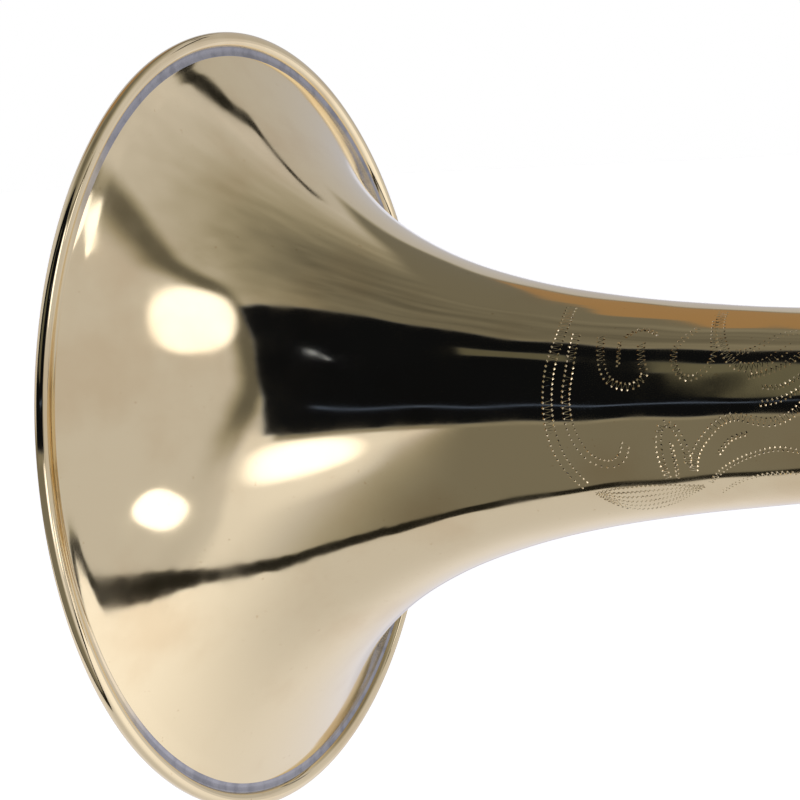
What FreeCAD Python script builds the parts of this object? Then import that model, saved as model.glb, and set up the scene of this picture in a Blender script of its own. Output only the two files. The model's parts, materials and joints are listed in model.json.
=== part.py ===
"""Flugelhorn in B flat, as separate brass, valve, slide and water-key parts.

Row frame, millimetres: the origin is the centre of the bell's mouth, +X runs
back along the bell's axis to the player, +Z is up along the valves, and -Y is
the player's left, where the bell's engraving is.
"""
import FreeCAD, Part
import math
import os

V = FreeCAD.Vector
X_AXIS = V(1, 0, 0)
Y_AXIS = V(0, 1, 0)

# Bell: outer radius = BASE - TAPER x + FLARE exp(-x / FLARE_LENGTH)
BELL_BASE = 20.45
BELL_TAPER = 0.0262
BELL_FLARE = 54.65
FLARE_LENGTH = 30.9
BELL_START_X = 0.68
BELL_END_X = 360.0
BELL_WALL = 0.55
BEAD_WIRE_R = 1.0
BEAD_CURL = math.radians(300)
SEAM_FOOT_X = 2.3
SEAM_LIP_TURN = math.radians(276)

# Wrap: bell above, return branch below, valves to the right
BOW_R = 48.0
BRANCH_Z = -2 * BOW_R
BRANCH_START_R = 8.8
FRONT_X = 168.0
BRANCH_END_R = 7.2
FRONT_BRANCH_R = 6.3
TUBE_WALL = 0.6
FERRULE_HALF = 5.0
FERRULE_PROUD = 0.9
FERRULE_ROUND = 0.6

# Valves
VALVE_Y = 28.0
VALVE_X = (288.0, 261.5, 235.0)
CASING_R = 10.2
CASING_BORE_R = 8.55
CASING_BOTTOM = -88.0
CASING_TOP = 25.0
PISTON_R = 8.5
PISTON_BOTTOM = -57.0
PISTON_TOP = 20.0
PISTON_WALL = 0.8
STROKE = 17.0
KEY_R = 9.3
KEYWAY_R = 9.5
KEY_HALF = 1.2
KEY_BOTTOM = 12.0
KEY_TOP = 16.0
CASING_RINGS = ((-76.0, -73.5), (11.0, 14.0))
CASING_RING_PROUD = 0.7

# Valve caps and their felts
CAP_R = 12.0
CAP_FLUTES = 12
FLUTE_R = 1.2
FLUTE_DEPTH = 0.5
TOP_CAP_BOTTOM = 17.0
TOP_CAP_SHOULDER = 27.0
TOP_CAP_CROWN = 29.0
TOP_CAP_TOP = 31.0
TOP_CAP_SHOULDER_R = 10.8
TOP_CAP_CROWN_R = 6.5
CAP_HOLE_R = 2.3
BOTTOM_CAP_TOP = -78.0
BOTTOM_CAP_FLOOR = -91.5
BOTTOM_CAP_END = -93.0
BOTTOM_CAP_END_R = 10.5
DRAIN_R = 2.0
FELT_BORE_R = 2.4
LOWER_FELT_R = 6.0
LOWER_FELT_BOTTOM = 21.6
UPPER_FELT_R = 5.5
UPPER_FELT_TOP = 33.4

# Stems, buttons and springs
STEM_SCREW_R = 1.8
STEM_SCREW_LENGTH = 3.0
STEM_COLLAR_R = 5.5
STEM_COLLAR_HEIGHT = 1.5
STEM_R = 2.0
STEM_TOP = 51.0
STEM_TIP_R = 1.5
STEM_TIP_TOP = 53.0
BUTTON_DISC_BOTTOM = 54.5
BUTTON_TOP = 58.0
BUTTON_R = 7.5
BUTTON_ROUND = 0.8
PEARL_SEAT = 56.6
PEARL_EDGE = 57.9
PEARL_TOP = 58.5
PEARL_R = 6.0
PEARL_DOME_R = 30.0
SPRING_WIRE_R = 0.55
SPRING_MEAN_R = 5.6
SPRING_TURNS = 8
SPRING_GAP = 0.1

# Stays between the tubes
STAY_R = 2.0
STAY_FOOT_R = 3.8
STAY_FOOT_LENGTH = 1.6
FRONT_STAY_X = 192.0
SLEEVE_STAY_X = 344.0
STAY_Z = -47.0

# Port levels along the valves, and tube sizes
UPPER_PORT = -34.0
LOWER_PORT = -46.0
SLIDE_PORTS = (-26.0, -48.0)
BORE_R = 5.25
KNUCKLE_R = 6.0
PASSAGE_R = 4.7
PASSAGE_TUBE_R = 5.3

# Valve slides
LEG_R = 5.85
SLEEVE_BORE_R = 5.9
SLEEVE_R = 6.5
CROOK_R = 6.4
SOCKET = 6.0
ELBOW_R = 9.0
SLIDE_Y = VALVE_Y + CASING_R + ELBOW_R
SLIDE_Z = sum(SLIDE_PORTS) / 2
CROOK_BEND_R = (SLIDE_PORTS[0] - SLIDE_PORTS[1]) / 2
SLIDE_GAP = 1.0
SLEEVE_LENGTH = (30.0, 18.0, 42.0)
SLIDE_STRAIGHT = (13.0, 3.5, 45.0)
SLEEVE_LIP = 3.0
CROOK_BAND = 2.5
LIP_PROUD = 0.5
KNOB_BALL_R = 3.6
KNOB_REACH = 6.2
KNOB_NECK_R = 1.7
KNOB_COLLAR_R = 3.0

# Third slide's finger ring and throw stop
RING_X = 168.0
RING_MEAN_R = 11.5
RING_WIRE_R = 1.6
STOP_ROD_R = 1.25
STOP_BRACE_R = 2.4
STOP_BRACE_X = VALVE_X[2] - ELBOW_R - SLEEVE_LENGTH[2] - SLIDE_GAP - 20
STOP_NUT_R = 2.8
STOP_NUT_LENGTH = 2.0
STOP_NUT_X = (219.5, 221.9)
STOP_ROD_END_X = 224.5
LUG_X = 188.0
LUG_LENGTH = 3.0
LUG_EYE_R = 3.2
LUG_HOLE_R = 1.35
LUG_STRUT_R = 1.5

# Leadpipe and mouthpiece
PIPE_SLEEVE_R = 6.9
PIPE_SLEEVE_BORE_R = 6.25
PIPE_R = 6.2
PIPE_START_X = 304.0
PIPE_END_X = 432.0
PIPE_SLEEVE_END_X = 372.0
RECEIVER_START_X = 430.0
RECEIVER_END_X = 460.0
RECEIVER_R = 7.5
RECEIVER_LIP = 4.0
RECEIVER_LIP_PROUD = 0.8
SEAT_START_X = 437.0
SEAT_R = (4.45, 4.97)
PIPE_TIP_BORE_R = 4.4
SHANK_START_X = 438.0
MOUTHPIECE_END_X = 503.0

# Clamp that holds the leadpipe, and its wing screw
SLIT_HALF = 0.7
SLIT_START_X = 350.0
COLLAR_X = (361.0, 370.0)
COLLAR_R = 8.6
EAR_HALF = 4.5
EAR_TOP = -18.5
SCREW_Z = -22.0
CLAMP_SCREW_X = 365.5
SCREW_R = 1.5
SCREW_PLAY = 0.05
CLAMP_HEAD_Y = (-10.0, -4.8)
CLAMP_HEAD_R = 3.0
CLAMP_SCREW_END = 5.5
WING_Y = -11.2
WING_OFFSET = 4.2

# Lyre socket and its screw
LYRE_X = 322.0
LYRE_R = 4.0
LYRE_BORE_R = 2.4
LYRE_TOP = -12.5
LYRE_BOTTOM = -26.5
LYRE_SCREW_Z = -17.0
LYRE_BOSS_R = 2.6
LYRE_BOSS_LENGTH = 2.2
LYRE_HEAD_Y = (-13.0, -9.5)
LYRE_HEAD_R = 2.4
LYRE_PADDLE_Y = -14.5

# Little finger's hook
HOOK_X = 206.0
HOOK_MEAN_R = 9.5
HOOK_WIRE_R = 1.7
HOOK_ANGLES = (-100, 30, 160)

# Water keys
NIPPLE_X = (184.0, 143.0)
PIVOT_BACK = (15.0, 14.0)
KEY_REACH = (19.0, 16.0)
KEY_PIVOT_DROP = 5.0
HUB_R = 2.1
PIN_R = 0.8
LUG_Y = (3.6, 4.9)
NIPPLE_R = 2.6
NIPPLE_HOLE_R = 1.3
NIPPLE_LENGTH = 3.4
CORK_R = 2.7
CORK_LENGTH = 2.0
KEY_SPRING_WIRE_R = 0.35
KEY_SPRING_Y = (-3.0, -2.2, 2.2, 3.0)


# --- helpers -----------------------------------------------------------------

def rod(start, end, radius):
    axis = end - start
    return Part.makeCylinder(radius, axis.Length, start, axis)


def pipe(start, end, outer, inner):
    return rod(start, end, outer).cut(rod(start, end, inner))


def cone(start, end, start_radius, end_radius):
    axis = end - start
    return Part.makeCone(start_radius, end_radius, axis.Length, start, axis)


def block(low, high):
    size = high - low
    return Part.makeBox(size.x, size.y, size.z, low)


def fuse(shapes):
    return shapes[0].multiFuse(shapes[1:]).removeSplitter()


def circle(point, normal, radius):
    return Part.Wire([Part.makeCircle(radius, point, normal)])


def swept(edges, start_radius, end_radius=None):
    """Round bar along tangent edges, with a steady taper if two radii are given."""
    profiles = [circle(edges[0].valueAt(edges[0].FirstParameter),
                       edges[0].tangentAt(edges[0].FirstParameter), start_radius)]
    if end_radius is not None:
        profiles.append(circle(edges[-1].valueAt(edges[-1].LastParameter),
                               edges[-1].tangentAt(edges[-1].LastParameter), end_radius))
    return Part.Wire(edges).makePipeShell(profiles, True, False)


def arc(start, middle, end):
    return Part.Arc(start, middle, end).toShape()


def line(start, end):
    return Part.LineSegment(start, end).toShape()


def turned(profile, axis_point, axis):
    """Solid of revolution of a closed flat outline given as edges."""
    return Part.Face(Part.Wire(profile)).revolve(axis_point, axis, 360)


def lathe(points, centre_y=0.0, centre_z=0.0):
    """Solid turned about a line along +X from (x, radius) corners."""
    corners = [V(x, centre_y, centre_z + radius) for x, radius in points]
    edges = [line(a, b) for a, b in zip(corners, corners[1:] + corners[:1])]
    return turned(edges, V(0, centre_y, centre_z), X_AXIS)


def valve_ring(x, low, high, outer, inner):
    return pipe(V(x, VALVE_Y, low), V(x, VALVE_Y, high), outer, inner)


def valve_rod(x, low, high, radius):
    return rod(V(x, VALVE_Y, low), V(x, VALVE_Y, high), radius)


# --- bell and wrap -----------------------------------------------------------

def bell_radius(x):
    return BELL_BASE - BELL_TAPER * x + BELL_FLARE * math.exp(-x / FLARE_LENGTH)


def bell_slope(x):
    return -BELL_TAPER - BELL_FLARE / FLARE_LENGTH * math.exp(-x / FLARE_LENGTH)


def bell_curve(depth):
    """Bell outline a given depth under the outer surface, mouth to bow."""
    stations = 30
    points = []
    for i in range(stations + 1):
        x = BELL_START_X + (BELL_END_X - BELL_START_X) * (i / stations) ** 2.2
        angle = math.atan(bell_slope(x))
        fade = min(1.0, (BELL_END_X - x) / 20)
        points.append(V(x + depth * math.sin(angle) * fade, 0,
                        bell_radius(x) - depth * math.cos(angle)))
    curve = Part.BSplineCurve()
    curve.interpolate(points)
    return curve.toShape()


def bead_centre():
    """The sheet's outer side runs tangent onto the wire that it is rolled round."""
    angle = math.atan(bell_slope(BELL_START_X))
    return V(BELL_START_X - BEAD_WIRE_R * math.sin(angle), 0,
             bell_radius(BELL_START_X) + BEAD_WIRE_R * math.cos(angle))


def on_bead(radius, turn):
    """Point on the bead's section, turned round it from where the sheet arrives."""
    angle = math.atan(bell_slope(BELL_START_X)) - math.pi / 2 - turn
    return bead_centre() + V(radius * math.cos(angle), 0, radius * math.sin(angle))


def bell():
    outer = bell_curve(0.0)
    inner = bell_curve(BELL_WALL)
    roll_r = BEAD_WIRE_R + BELL_WALL
    sheet_out = outer.valueAt(outer.FirstParameter)
    sheet_in = inner.valueAt(inner.FirstParameter)
    profile = [
        outer,
        line(outer.valueAt(outer.LastParameter), inner.valueAt(inner.LastParameter)),
        inner,
        arc(sheet_in, on_bead(roll_r, BEAD_CURL / 2), on_bead(roll_r, BEAD_CURL)),
        line(on_bead(roll_r, BEAD_CURL), on_bead(BEAD_WIRE_R, BEAD_CURL)),
        arc(on_bead(BEAD_WIRE_R, BEAD_CURL), on_bead(BEAD_WIRE_R, BEAD_CURL / 2), sheet_out),
    ]
    return turned(Part.__sortEdges__(profile), V(0, 0, 0), X_AXIS)


def rim_wire():
    """Wire in the rolled edge, and the solder that fills the corner behind the roll."""
    centre = bead_centre()
    wire = Part.makeTorus(centre.z, BEAD_WIRE_R, V(centre.x, 0, 0), X_AXIS)
    slope = math.atan(bell_slope(BELL_START_X))
    foot = V(SEAM_FOOT_X, 0, bell_radius(SEAM_FOOT_X))
    start = V(BELL_START_X, 0, bell_radius(BELL_START_X))
    into_sheet = V(math.sin(slope), 0, -math.cos(slope)) * (BELL_WALL / 2)
    corners = [on_bead(BEAD_WIRE_R + BELL_WALL, SEAM_LIP_TURN), foot, foot + into_sheet,
               start + into_sheet, centre]
    edges = [line(a, b) for a, b in zip(corners, corners[1:] + corners[:1])]
    seam = turned(edges, V(0, 0, 0), X_AXIS).cut(bell()).cut(wire)
    return Part.makeCompound([wire] + seam.Solids)


def bell_core():
    """The bell as a filled bar, to trim what is soldered onto it."""
    outer = bell_curve(0.0)
    first = outer.valueAt(outer.FirstParameter)
    last = outer.valueAt(outer.LastParameter)
    profile = [outer, line(last, V(last.x, 0, 0)), line(V(last.x, 0, 0), V(first.x, 0, 0)),
               line(V(first.x, 0, 0), first)]
    return turned(Part.__sortEdges__(profile), V(0, 0, 0), X_AXIS)


def rear_bow_core(wall):
    bend = arc(V(BELL_END_X, 0, 0), V(BELL_END_X + BOW_R, 0, -BOW_R), V(BELL_END_X, 0, BRANCH_Z))
    return swept([bend], bell_radius(BELL_END_X) - wall, BRANCH_START_R - wall)


def lower_branch_core(wall):
    return cone(V(BELL_END_X, 0, BRANCH_Z), V(FRONT_X, 0, BRANCH_Z),
                BRANCH_START_R - wall, BRANCH_END_R - wall)


def front_bow_core(wall):
    reach = V(0, VALVE_Y, LOWER_PORT - BRANCH_Z).Length / 2
    middle = V(FRONT_X - reach, VALVE_Y / 2, (LOWER_PORT + BRANCH_Z) / 2)
    bend = arc(V(FRONT_X, 0, BRANCH_Z), middle, V(FRONT_X, VALVE_Y, LOWER_PORT))
    return swept([bend], BRANCH_END_R - wall, FRONT_BRANCH_R - wall)


def front_branch_core(wall):
    start = V(FRONT_X, VALVE_Y, LOWER_PORT)
    end = V(VALVE_X[2] - CASING_R + 2, VALVE_Y, LOWER_PORT)
    return rod(start, end, FRONT_BRANCH_R - wall).cut(casing_core(VALVE_X[2]))


def casing_core(x):
    return valve_rod(x, CASING_BOTTOM, CASING_TOP, CASING_R)


def hollow(core):
    return core(0.0).cut(core(TUBE_WALL))


def branch_ferrules():
    """Four rings over the joints of the wrap."""
    half = FERRULE_HALF
    joints = [
        (V(BELL_END_X - half, 0, 0), bell_radius(BELL_END_X), (bell_core(), rear_bow_core(0.0))),
        (V(BELL_END_X - half, 0, BRANCH_Z), BRANCH_START_R,
         (lower_branch_core(0.0), rear_bow_core(0.0))),
        (V(FRONT_X + half, 0, BRANCH_Z), BRANCH_END_R,
         (lower_branch_core(0.0), front_bow_core(0.0))),
        (V(FRONT_X + half, VALVE_Y, LOWER_PORT), FRONT_BRANCH_R,
         (front_branch_core(0.0), front_bow_core(0.0))),
    ]
    rings = []
    for centre, radius, cores in joints:
        reach = V(half, 0, 0)
        ring = rod(centre - reach, centre + reach, radius + FERRULE_PROUD)
        ring = ring.makeFillet(FERRULE_ROUND, ring.Edges[0:1] + ring.Edges[2:3])
        rings.append(ring.cut(fuse(list(cores))))
    return Part.makeCompound(rings)


# --- braces ------------------------------------------------------------------

def brace(start, end, trims):
    """Turned stay between two tubes, with a round foot against each."""
    axis = end - start
    unit = V(axis)
    unit.normalize()
    bar = rod(start, end, STAY_R)
    for trim in trims:
        bar = bar.cut(trim)
    feet = []
    low = min(vertex.Point.sub(start).dot(unit) for vertex in bar.Vertexes)
    high = max(vertex.Point.sub(start).dot(unit) for vertex in bar.Vertexes)
    for near, far in ((low - 3, low + STAY_FOOT_LENGTH), (high - STAY_FOOT_LENGTH, high + 3)):
        foot = rod(start + unit * near, start + unit * far, STAY_FOOT_R)
        for trim in trims:
            foot = foot.cut(trim)
        feet.append(foot)
    return fuse([bar] + feet)


def bell_braces():
    """Three stays from the bell's tail to the valves and to the front branch."""
    stays = []
    for x in (VALVE_X[0], VALVE_X[2]):
        stays.append(brace(V(x, 0, 0), V(x, VALVE_Y, 0), (bell_core(), casing_core(x))))
    stays.append(brace(V(FRONT_STAY_X, 0, 0), V(FRONT_STAY_X, VALVE_Y, LOWER_PORT),
                       (bell_core(), front_branch_core(0.0))))
    return Part.makeCompound(stays)


def lower_braces():
    """Stays from the return branch to two valves, and from the leadpipe to the bell."""
    stays = []
    for x in (VALVE_X[0], VALVE_X[2]):
        stays.append(brace(V(x, 0, BRANCH_Z), V(x, VALVE_Y, STAY_Z),
                           (lower_branch_core(0.0), casing_core(x))))
    x = SLEEVE_STAY_X
    sleeve = rod(V(x - 20, VALVE_Y, UPPER_PORT), V(x + 20, VALVE_Y, UPPER_PORT), PIPE_SLEEVE_R)
    stays.append(brace(V(x, 0, 0), V(x, VALVE_Y, UPPER_PORT), (bell_core(), sleeve)))
    return Part.makeCompound(stays)


# --- valve block -------------------------------------------------------------

def knuckle_levels(index):
    """Port levels on a valve's player side and on its bell side."""
    if index == 1:
        return LOWER_PORT, UPPER_PORT
    return UPPER_PORT, LOWER_PORT


def valve_casing(index):
    x = VALVE_X[index]
    rings = [valve_rod(x, low, high, CASING_R + CASING_RING_PROUD) for low, high in CASING_RINGS]
    outer = fuse([casing_core(x)] + rings)
    casing = outer.cut(valve_rod(x, CASING_BOTTOM, CASING_TOP, CASING_BORE_R))
    keyway = block(V(x - KEY_HALF - 0.1, VALVE_Y - KEYWAY_R, KEY_BOTTOM - STROKE - 1),
                   V(x + KEY_HALF + 0.1, VALVE_Y, CASING_TOP))
    casing = casing.cut(keyway)
    player_side, bell_side = knuckle_levels(index)
    casing = casing.cut(rod(V(x, VALVE_Y, player_side), V(x + 15, VALVE_Y, player_side), BORE_R))
    casing = casing.cut(rod(V(x, VALVE_Y, bell_side), V(x - 15, VALVE_Y, bell_side), BORE_R))
    for level in SLIDE_PORTS:
        casing = casing.cut(rod(V(x, VALVE_Y, level), V(x, VALVE_Y + 15, level), BORE_R))
    return casing


def elbow(x, level, side):
    """Quarter bend from a valve's slide port onto the slide's line; side is +1 or -1 along X."""
    start = V(x, VALVE_Y + CASING_R - 2, level)
    bend_start = V(x, VALVE_Y + CASING_R, level)
    bend_end = V(x + side * ELBOW_R, SLIDE_Y, level)
    cos_45 = math.cos(math.radians(45))
    middle = V(x + side * ELBOW_R * (1 - cos_45), VALVE_Y + CASING_R + ELBOW_R * cos_45, level)
    path = [line(start, bend_start), arc(bend_start, middle, bend_end)]
    return swept(path, KNUCKLE_R).cut(swept(path, BORE_R)).cut(casing_core(x))


def valve_knuckles():
    """Short tubes between valves, and the elbows out to the first and third slides."""
    tubes = []
    for front, rear, level in ((1, 0, LOWER_PORT), (2, 1, UPPER_PORT)):
        tube = pipe(V(VALVE_X[front], VALVE_Y, level), V(VALVE_X[rear], VALVE_Y, level),
                    KNUCKLE_R, BORE_R)
        tubes.append(tube.cut(casing_core(VALVE_X[front])).cut(casing_core(VALVE_X[rear])))
    for index, side in ((0, 1), (2, -1)):
        for level in SLIDE_PORTS:
            tubes.append(elbow(VALVE_X[index], level, side))
    return Part.makeCompound(tubes)


def fluted(skirt, x, low, high):
    """Shallow finger flutes round a cap's skirt."""
    for i in range(CAP_FLUTES):
        angle = 2 * math.pi * i / CAP_FLUTES
        offset = V(math.cos(angle), math.sin(angle), 0) * (CAP_R + FLUTE_R - FLUTE_DEPTH)
        foot = V(x, VALVE_Y, low) + offset
        skirt = skirt.cut(rod(foot, foot + V(0, 0, high - low), FLUTE_R))
    return skirt


def top_caps():
    caps = []
    for x in VALVE_X:
        skirt = valve_rod(x, TOP_CAP_BOTTOM, TOP_CAP_SHOULDER, CAP_R)
        skirt = fluted(skirt, x, TOP_CAP_BOTTOM + 1, TOP_CAP_SHOULDER - 2)
        shoulder = valve_rod(x, TOP_CAP_SHOULDER, TOP_CAP_CROWN, TOP_CAP_SHOULDER_R)
        crown = valve_rod(x, TOP_CAP_CROWN, TOP_CAP_TOP, TOP_CAP_CROWN_R)
        cap = fuse([skirt, shoulder, crown])
        cap = cap.cut(valve_rod(x, TOP_CAP_BOTTOM, CASING_TOP, CASING_R))
        caps.append(cap.cut(valve_rod(x, CASING_TOP, TOP_CAP_TOP, CAP_HOLE_R)))
    return Part.makeCompound(caps)


def bottom_caps():
    caps = []
    for x in VALVE_X:
        skirt = valve_rod(x, BOTTOM_CAP_FLOOR, BOTTOM_CAP_TOP, CAP_R)
        skirt = fluted(skirt, x, BOTTOM_CAP_FLOOR + 1.5, BOTTOM_CAP_TOP - 2)
        end = valve_rod(x, BOTTOM_CAP_END, BOTTOM_CAP_FLOOR, BOTTOM_CAP_END_R)
        cap = fuse([skirt, end])
        cap = cap.cut(valve_rod(x, CASING_BOTTOM, BOTTOM_CAP_TOP, CASING_R))
        cap = cap.cut(valve_rod(x, BOTTOM_CAP_FLOOR, CASING_BOTTOM, CASING_BORE_R))
        caps.append(cap.cut(valve_rod(x, BOTTOM_CAP_END, BOTTOM_CAP_FLOOR, DRAIN_R)))
    return Part.makeCompound(caps)


def cap_felts():
    """Felt washers under and on top of each top cap."""
    felts = []
    for x in VALVE_X:
        felts.append(valve_ring(x, LOWER_FELT_BOTTOM, CASING_TOP - 0.1, LOWER_FELT_R, FELT_BORE_R))
        felts.append(valve_ring(x, TOP_CAP_TOP, UPPER_FELT_TOP, UPPER_FELT_R, FELT_BORE_R))
    return Part.makeCompound(felts)


def passage(x, side, start_level, end_level, radius):
    """Curved passage from a piston's side at +X or -X round to its slide side."""
    start = V(x + side * (PISTON_R + 1), VALVE_Y, start_level)
    middle = V(x + side * 2.5, VALVE_Y + 2.5, (start_level + end_level) / 2)
    end = V(x, VALVE_Y + PISTON_R + 1, end_level)
    return swept([arc(start, middle, end)], radius)


def piston_passages(index, radius):
    """The straight way through at rest, and the two ways by the slide when pressed."""
    x = VALVE_X[index]
    player_side, bell_side = knuckle_levels(index)
    through = rod(V(x + PISTON_R + 2, VALVE_Y, player_side),
                  V(x - PISTON_R - 2, VALVE_Y, bell_side), radius)
    upper_side = 1 if player_side == UPPER_PORT else -1
    upper = passage(x, upper_side, UPPER_PORT + STROKE, SLIDE_PORTS[0] + STROKE, radius)
    lower = passage(x, -upper_side, LOWER_PORT + STROKE, SLIDE_PORTS[1] + STROKE, radius)
    return [through, upper, lower]


def piston(index):
    x = VALVE_X[index]
    body = valve_rod(x, PISTON_BOTTOM, PISTON_TOP, PISTON_R)
    plate = 3.0
    rim = 1.5
    wall = body.cut(valve_rod(x, PISTON_BOTTOM + rim, PISTON_TOP - plate, PISTON_R - PISTON_WALL))
    tubes = [tube.common(body) for tube in piston_passages(index, PASSAGE_TUBE_R)]
    solid = fuse([wall] + tubes)
    for bore in piston_passages(index, PASSAGE_R):
        solid = solid.cut(bore)
    key = block(V(x - KEY_HALF, VALVE_Y - KEY_R, KEY_BOTTOM),
                V(x + KEY_HALF, VALVE_Y - PISTON_R + 0.5, KEY_TOP))
    solid = solid.fuse(key)
    solid = solid.cut(valve_rod(x, PISTON_BOTTOM - 1, PISTON_BOTTOM + rim + 1, 3.5))
    return solid.cut(valve_rod(x, PISTON_TOP - plate - 1, PISTON_TOP, STEM_SCREW_R))


def stem(index):
    x = VALVE_X[index]
    collar_top = PISTON_TOP + STEM_COLLAR_HEIGHT
    return fuse([
        valve_rod(x, PISTON_TOP - STEM_SCREW_LENGTH, PISTON_TOP, STEM_SCREW_R),
        valve_rod(x, PISTON_TOP, collar_top, STEM_COLLAR_R),
        valve_rod(x, collar_top, STEM_TOP, STEM_R),
        valve_rod(x, STEM_TOP, STEM_TIP_TOP, STEM_TIP_R),
    ])


def button(index):
    x = VALVE_X[index]
    boss = cone(V(x, VALVE_Y, STEM_TOP), V(x, VALVE_Y, BUTTON_DISC_BOTTOM), 3.4, 5.0)
    disc = valve_rod(x, BUTTON_DISC_BOTTOM, BUTTON_TOP, BUTTON_R)
    disc = disc.makeFillet(BUTTON_ROUND, disc.Edges)
    solid = fuse([boss, disc])
    solid = solid.cut(valve_rod(x, STEM_TOP, STEM_TIP_TOP, STEM_TIP_R))
    return solid.cut(valve_rod(x, PEARL_SEAT, BUTTON_TOP, PEARL_R))


def pearl(index):
    x = VALVE_X[index]
    disc = valve_rod(x, PEARL_SEAT, PEARL_EDGE, PEARL_R)
    dome = Part.makeSphere(PEARL_DOME_R, V(x, VALVE_Y, PEARL_TOP - PEARL_DOME_R))
    cap = valve_rod(x, PEARL_EDGE, PEARL_TOP + 1, PEARL_R).common(dome)
    return disc.fuse(cap).removeSplitter()


def valve_spring(index):
    """Return spring between the bottom cap and the piston's lower rim."""
    bottom = BOTTOM_CAP_FLOOR + SPRING_WIRE_R + SPRING_GAP
    top = PISTON_BOTTOM - SPRING_WIRE_R - SPRING_GAP
    centre = V(VALVE_X[index], VALVE_Y, 0)
    stations = 16 * SPRING_TURNS
    points = []
    for i in range(stations + 1):
        angle = 2 * math.pi * SPRING_TURNS * i / stations
        round_axis = V(SPRING_MEAN_R * math.cos(angle), SPRING_MEAN_R * math.sin(angle), 0)
        points.append(centre + round_axis + V(0, 0, bottom + (top - bottom) * i / stations))
    curve = Part.BSplineCurve()
    curve.interpolate(points)
    coil = curve.toShape()
    start = coil.valueAt(coil.FirstParameter)
    profile = circle(start, coil.tangentAt(coil.FirstParameter), SPRING_WIRE_R)
    return Part.Wire([coil]).makePipeShell([profile], True, True)


# --- valve slides ------------------------------------------------------------
# A slide is drawn by its line: a point where its sleeves begin, and the way it pulls out.

def slide_line(index):
    """Sleeve start, pull-out direction, sleeve length and straight brass length."""
    x = VALVE_X[index]
    length = SLEEVE_LENGTH[index]
    straight = SLIDE_STRAIGHT[index]
    if index == 0:
        return V(x + ELBOW_R, SLIDE_Y, 0), V(1, 0, 0), length, straight
    if index == 1:
        return V(x, VALVE_Y + CASING_R, 0), V(0, 1, 0), length, straight
    return V(x - ELBOW_R, SLIDE_Y, 0), V(-1, 0, 0), length, straight


def slide_sleeves(index):
    start, way, length, _ = slide_line(index)
    x = VALVE_X[index]
    tubes = []
    for level in SLIDE_PORTS:
        low = start + V(0, 0, level)
        root = low - way * (2.0 if index == 1 else 0.0)
        lip_start = low + way * (length - SLEEVE_LIP)
        lip = rod(lip_start, low + way * length, SLEEVE_R + LIP_PROUD)
        tube = fuse([rod(root, low + way * length, SLEEVE_R), lip])
        tube = tube.cut(rod(root, low + way * 1.5, BORE_R))
        tube = tube.cut(rod(low + way * 1.5, low + way * length, SLEEVE_BORE_R))
        tubes.append(tube.cut(casing_core(x)))
    return Part.makeCompound(tubes)


def slide_legs(index):
    start, way, length, straight = slide_line(index)
    socket = min(SOCKET, straight - 0.5)
    tubes = []
    for level in SLIDE_PORTS:
        low = start + V(0, 0, level)
        tubes.append(pipe(low + way * 2.0, low + way * (length + SLIDE_GAP + socket),
                          LEG_R, BORE_R))
    return Part.makeCompound(tubes)


def crook_path(index):
    start, way, length, straight = slide_line(index)
    brass = start + way * (length + SLIDE_GAP)
    bend = brass + way * straight
    upper, lower = (V(0, 0, level) for level in SLIDE_PORTS)
    tip = bend + way * CROOK_BEND_R + V(0, 0, SLIDE_Z)
    return [line(brass + upper, bend + upper), arc(bend + upper, tip, bend + lower),
            line(bend + lower, brass + lower)]


def slide_tip(index):
    start, way, length, straight = slide_line(index)
    reach = length + SLIDE_GAP + straight + CROOK_BEND_R + CROOK_R
    return start + way * reach + V(0, 0, SLIDE_Z), way


def pull_knob(index):
    tip, way = slide_tip(index)
    core = swept(crook_path(index), CROOK_R)
    neck = rod(tip - way * 2, tip + way * (KNOB_REACH - 3), KNOB_NECK_R)
    collar = rod(tip - way * 2, tip + way * 0.8, KNOB_COLLAR_R)
    ball = Part.makeSphere(KNOB_BALL_R, tip + way * KNOB_REACH)
    return fuse([neck, collar, ball]).cut(core)


def slide_crook(index):
    start, way, length, straight = slide_line(index)
    socket = min(SOCKET, straight - 0.5)
    crook = swept(crook_path(index), CROOK_R)
    bore = swept(crook_path(index), BORE_R)
    solid = crook.cut(bore)
    for level in SLIDE_PORTS:
        mouth = start + way * (length + SLIDE_GAP) + V(0, 0, level)
        solid = solid.cut(rod(mouth, mouth + way * socket, LEG_R))
        band = pipe(mouth, mouth + way * CROOK_BAND, CROOK_R + LIP_PROUD, LEG_R)
        solid = solid.fuse(band)
    if index == 2:
        upper, lower = (V(STOP_BRACE_X, SLIDE_Y, level) for level in SLIDE_PORTS)
        return Part.makeCompound([solid, rod(lower, upper, STOP_BRACE_R).cut(crook)])
    return Part.makeCompound([solid, pull_knob(index)])


def slide_3_ring():
    """Finger ring standing on the third slide's upper tube."""
    tube_z = SLIDE_PORTS[0]
    centre = V(RING_X, SLIDE_Y, tube_z + CROOK_R + RING_MEAN_R + RING_WIRE_R - 0.4)
    ring = Part.makeTorus(RING_MEAN_R, RING_WIRE_R, centre, Y_AXIS)
    foot = block(V(RING_X - 4, SLIDE_Y - 2, tube_z + 4), V(RING_X + 4, SLIDE_Y + 2, tube_z + 7.8))
    hole = rod(centre - V(0, 5, 0), centre + V(0, 5, 0), RING_MEAN_R)
    tube = rod(V(RING_X - 20, SLIDE_Y, tube_z), V(RING_X + 20, SLIDE_Y, tube_z), CROOK_R)
    return fuse([ring, foot.cut(hole)]).cut(tube)


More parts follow.
